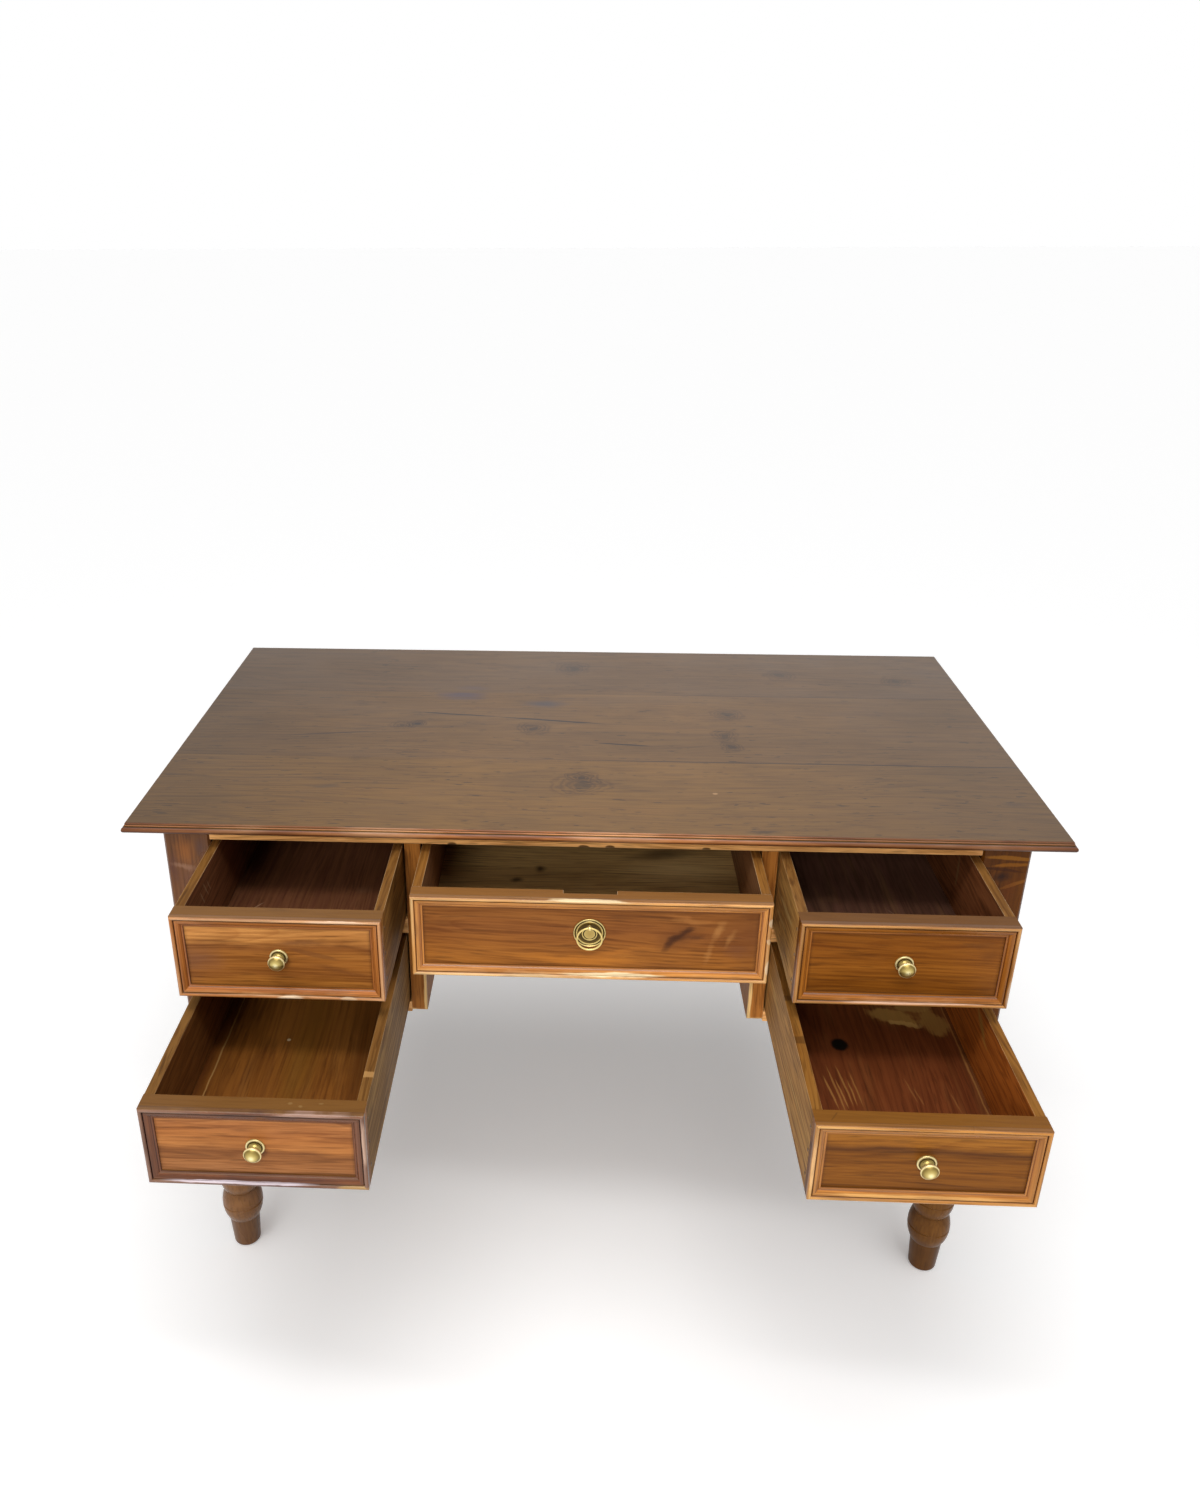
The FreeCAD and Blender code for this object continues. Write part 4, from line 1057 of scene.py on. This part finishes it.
def pin_heads_tree():
    """Low domes on points, each turned the way that the face under it looks."""
    tree = bpy.data.node_groups.new("pin_heads", "GeometryNodeTree")
    wanted = {"Geometry": "Geometry", "Head width": "Float", "Head height": "Float", "Seed": "Int"}
    wanted["Finish"] = "Material"
    for name, kind in wanted.items():
        tree.interface.new_socket(name, in_out="INPUT", socket_type=f"NodeSocket{kind}")
    tree.interface.new_socket("Geometry", in_out="OUTPUT", socket_type="NodeSocketGeometry")
    given = add(tree, "NodeGroupInput").outputs
    ball = add(tree, "GeometryNodeMeshUVSphere", {"Segments": 14, "Rings": 8, "Radius": 0.5}).outputs["Mesh"]
    tall = add(tree, "ShaderNodeMath", {0: given["Head height"], 1: 2.0}, operation="MULTIPLY").outputs[0]
    inputs = {"X": given["Head width"], "Y": given["Head width"], "Z": tall}
    size = add(tree, "ShaderNodeCombineXYZ", inputs).outputs[0]
    head = add(tree, "GeometryNodeTransform", {"Geometry": ball, "Scale": size}).outputs["Geometry"]
    way = add(tree, "GeometryNodeInputNamedAttribute", {"Name": "outwards"}, data_type="FLOAT_VECTOR")
    inputs = {"Vector": way.outputs["Attribute"]}
    facing = add(tree, "FunctionNodeAlignRotationToVector", inputs, axis="Z").outputs["Rotation"]
    inputs = {"Seed": given["Seed"], 2: 0.85, 3: 1.1}
    uneven = add(tree, "FunctionNodeRandomValue", inputs, data_type="FLOAT").outputs[1]
    inputs = {"Points": given["Geometry"], "Instance": head, "Rotation": facing, "Scale": uneven}
    heads = add(tree, "GeometryNodeInstanceOnPoints", inputs).outputs["Instances"]
    smooth = add(tree, "GeometryNodeSetShadeSmooth", {"Geometry": heads}).outputs["Geometry"]
    plain = add(tree, "GeometryNodeRealizeInstances", {"Geometry": smooth}).outputs["Geometry"]
    inputs = {"Geometry": plain, "Material": given["Finish"]}
    dressed = add(tree, "GeometryNodeSetMaterial", inputs).outputs["Geometry"]
    add(tree, "NodeGroupOutput", {"Geometry": dressed})
    return tree


def old_iron():
    """Iron pins with rust-brown skins: dull, mottled with patches of grey iron."""
    material, tree = new_material("old_iron_pins")
    place = add(tree, "ShaderNodeTexCoord").outputs["Object"]
    inputs = {"Vector": place, "Scale": 1 / (2 * MM), "Detail": 2}
    mottle = add(tree, "ShaderNodeTexNoise", inputs).outputs["Fac"]
    stops = [(0.35, "#3a2a20"), (0.50, "#5c4a3c"), (0.65, "#8c8076")]
    tone = add(tree, "ShaderNodeValToRGB", {"Fac": mottle}, stops).outputs["Color"]
    inputs = {"Base Color": tone, "Metallic": 0.8, "Roughness": 0.45}
    shader = add(tree, "ShaderNodeBsdfPrincipled", inputs).outputs["BSDF"]
    add(tree, "ShaderNodeOutputMaterial", {"Surface": shader})
    return material


def evenly(low, high, count):
    """Places at equal distances between two ends, half a distance in from each."""
    return [low + (number + 0.5) / count * (high - low) for number in range(count)]


def pin_spots():
    """Where each body's pins are, and the way that each head looks.

    They go through the drawers' sides into the fronts and backs, up through the bottoms, and through the
    back panels.
    """
    spots = {"case": []}
    for drawer in BOXES:
        stem = f"{drawer}_drawer"
        spots[stem] = []
        for side, outwards in (("left", -1), ("right", 1)):
            low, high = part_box(f"{stem}_side_{side}")
            face = low.x if outwards < 0 else high.x
            for share in PIN_LEVELS:
                for y in (low.y + PIN_IN_FRONT * MM, high.y - PIN_IN_BACK * MM):
                    spots[stem].append(((face, y, low.z + share * (high.z - low.z)), (outwards, 0, 0)))
        low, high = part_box(f"{stem}_bottom")
        for x in evenly(low.x, high.x, 4 if drawer == "centre" else 3):
            spots[stem].append(((x, high.y - PIN_IN_BACK * MM, low.z), DOWN))
    for part in ("left", "centre", "right"):
        low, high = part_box(f"back_panel_{part}")
        for x in evenly(low.x, high.x, 5 if part == "centre" else 3):
            for z in (low.z + PIN_IN_PANEL * MM, high.z - PIN_IN_PANEL * MM):
                spots["case"].append(((x, high.y, z), BACKWARD))
    return spots


def in_scene(name, data):
    """A new object in the scene."""
    thing = bpy.data.objects.new(name, data)
    bpy.context.scene.collection.objects.link(thing)
    return thing


def drive_pins():
    """Small iron pins with low domed heads, one set for each body."""
    tree = pin_heads_tree()
    sizes = {"Head width": PIN_WIDE * MM, "Head height": PIN_TALL * MM, "Seed": 5, "Finish": old_iron()}
    for body, heads in pin_spots().items():
        mesh = bpy.data.meshes.new(f"{body}_pins")
        mesh.from_pydata([place for place, way in heads], [], [])
        outwards = mesh.attributes.new("outwards", "FLOAT_VECTOR", "POINT")
        outwards.data.foreach_set("vector", [value for place, way in heads for value in way])
        pins = in_scene(f"{body}_pins", mesh)
        driven = pins.modifiers.new("pin_heads", "NODES")
        driven.node_group = tree
        for item in tree.interface.items_tree:
            if item.in_out == "INPUT" and item.name in sizes:
                driven[item.identifier] = sizes[item.name]
        whole = pins.evaluated_get(bpy.context.evaluated_depsgraph_get())
        plain = bpy.data.meshes.new_from_object(whole)
        pins.modifiers.clear()
        pins.data = plain
        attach(pins, body)


def seen(tree):
    """1 for rays from the camera, and for what metal and glass reflect or let through."""
    path = add(tree, "ShaderNodeLightPath").outputs
    inputs = {0: path["Is Camera Ray"], 1: path["Is Glossy Ray"]}
    first = add(tree, "ShaderNodeMath", inputs, operation="MAXIMUM").outputs[0]
    inputs = {0: first, 1: path["Is Transmission Ray"]}
    return add(tree, "ShaderNodeMath", inputs, operation="MAXIMUM").outputs[0]


def studio_floor():
    """A pale matt floor that keeps the desk's shadow, and glows enough to run into the white surround."""
    mesh = bpy.data.meshes.new("floor")
    corners = [(-1, -1, 0), (1, -1, 0), (1, 1, 0), (-1, 1, 0)]
    mesh.from_pydata([Vector(corner) * FLOOR_REACH for corner in corners], [], [(0, 1, 2, 3)])
    floor = in_scene("floor", mesh)
    material, tree = new_material("pale_floor")
    matt = add(tree, "ShaderNodeBsdfDiffuse", {"Color": linear("#fafafa")}).outputs[0]
    lift = add(tree, "ShaderNodeMath", {0: seen(tree), 1: FLOOR_GLOW}, operation="MULTIPLY").outputs[0]
    glow = add(tree, "ShaderNodeEmission", {"Color": linear("#ffffff"), "Strength": lift}).outputs[0]
    both = add(tree, "ShaderNodeAddShader", {0: matt, 1: glow}).outputs[0]
    add(tree, "ShaderNodeOutputMaterial", {"Surface": both})
    mesh.materials.append(material)
    return floor


def studio_surround():
    """White to the eye, and a dim even light on the desk."""
    world = bpy.data.worlds.new("white_surround")
    bpy.context.scene.world = world
    world.use_nodes = True
    tree = world.node_tree
    tree.nodes.clear()
    inputs = {"Value": seen(tree), "To Min": SURROUND_LIGHT, "To Max": 1.0}
    strength = add(tree, "ShaderNodeMapRange", inputs).outputs["Result"]
    around = add(tree, "ShaderNodeBackground", {"Color": linear("#ffffff"), "Strength": strength}).outputs[0]
    add(tree, "ShaderNodeOutputWorld", {"Surface": around})


def shining(way):
    """The turn of a lamp that shines along a direction."""
    return way.to_track_quat("-Z", "Y").to_matrix().to_4x4()


def studio_lights(floor):
    """Soft light from above and in front, a little from behind, and a strip for the highlights."""
    flagged = bpy.data.collections.new("flagged_floor")
    flagged.objects.link(floor)
    flagged.collection_objects[0].light_linking.link_state = "EXCLUDE"
    for name, (spot, strength, spread) in SUNS.items():
        light = bpy.data.lights.new(name, "SUN")
        light.energy = strength
        light.angle = math.radians(spread)
        lamp = in_scene(name, light)
        lamp.matrix_world = shining(-Vector(spot))
        if name != "overhead_light":
            # The low lights are flagged off the floor, to keep its shadow, and don't glare in the polish
            lamp.light_linking.receiver_collection = flagged
            lamp.visible_glossy = False

    light = bpy.data.lights.new("strip_light", "AREA")
    light.shape = "RECTANGLE"
    light.size = STRIP_LONG
    light.size_y = STRIP_WIDE
    light.energy = STRIP_WATTS
    lamp = in_scene("strip_light", light)
    lamp.matrix_world = Matrix.Translation(STRIP_SPOT) @ shining(STRIP_AIM - STRIP_SPOT)


def camera():
    """The photograph's own view."""
    lens = bpy.data.cameras.new("photo_camera")
    lens.sensor_width = SENSOR_MM
    lens.lens = FOCAL_PX / PHOTO_TALL * SENSOR_MM
    lens.shift_x = (PHOTO_WIDE / 2 - AXIS_PX[0]) / PHOTO_TALL
    lens.shift_y = (AXIS_PX[1] - PHOTO_TALL / 2) / PHOTO_TALL
    eye = in_scene("photo_camera", lens)
    turned = Matrix.Rotation(-YAW, 4, "Z") @ Matrix.Rotation(math.pi / 2 - PITCH, 4, "X")
    eye.matrix_world = Matrix.Translation(EYE) @ turned @ Matrix.Rotation(ROLL, 4, "Z")
    bpy.context.scene.camera = eye


finish_top()
finish_rails()
finish_panels()
finish_backs()
finish_legs()
finish_runners()
finish_fronts()
finish_mouldings()
finish_boxes()
finish_brass()
drive_pins()
studio_lights(studio_floor())
studio_surround()
camera()
bpy.context.scene.view_settings.view_transform = "Standard"
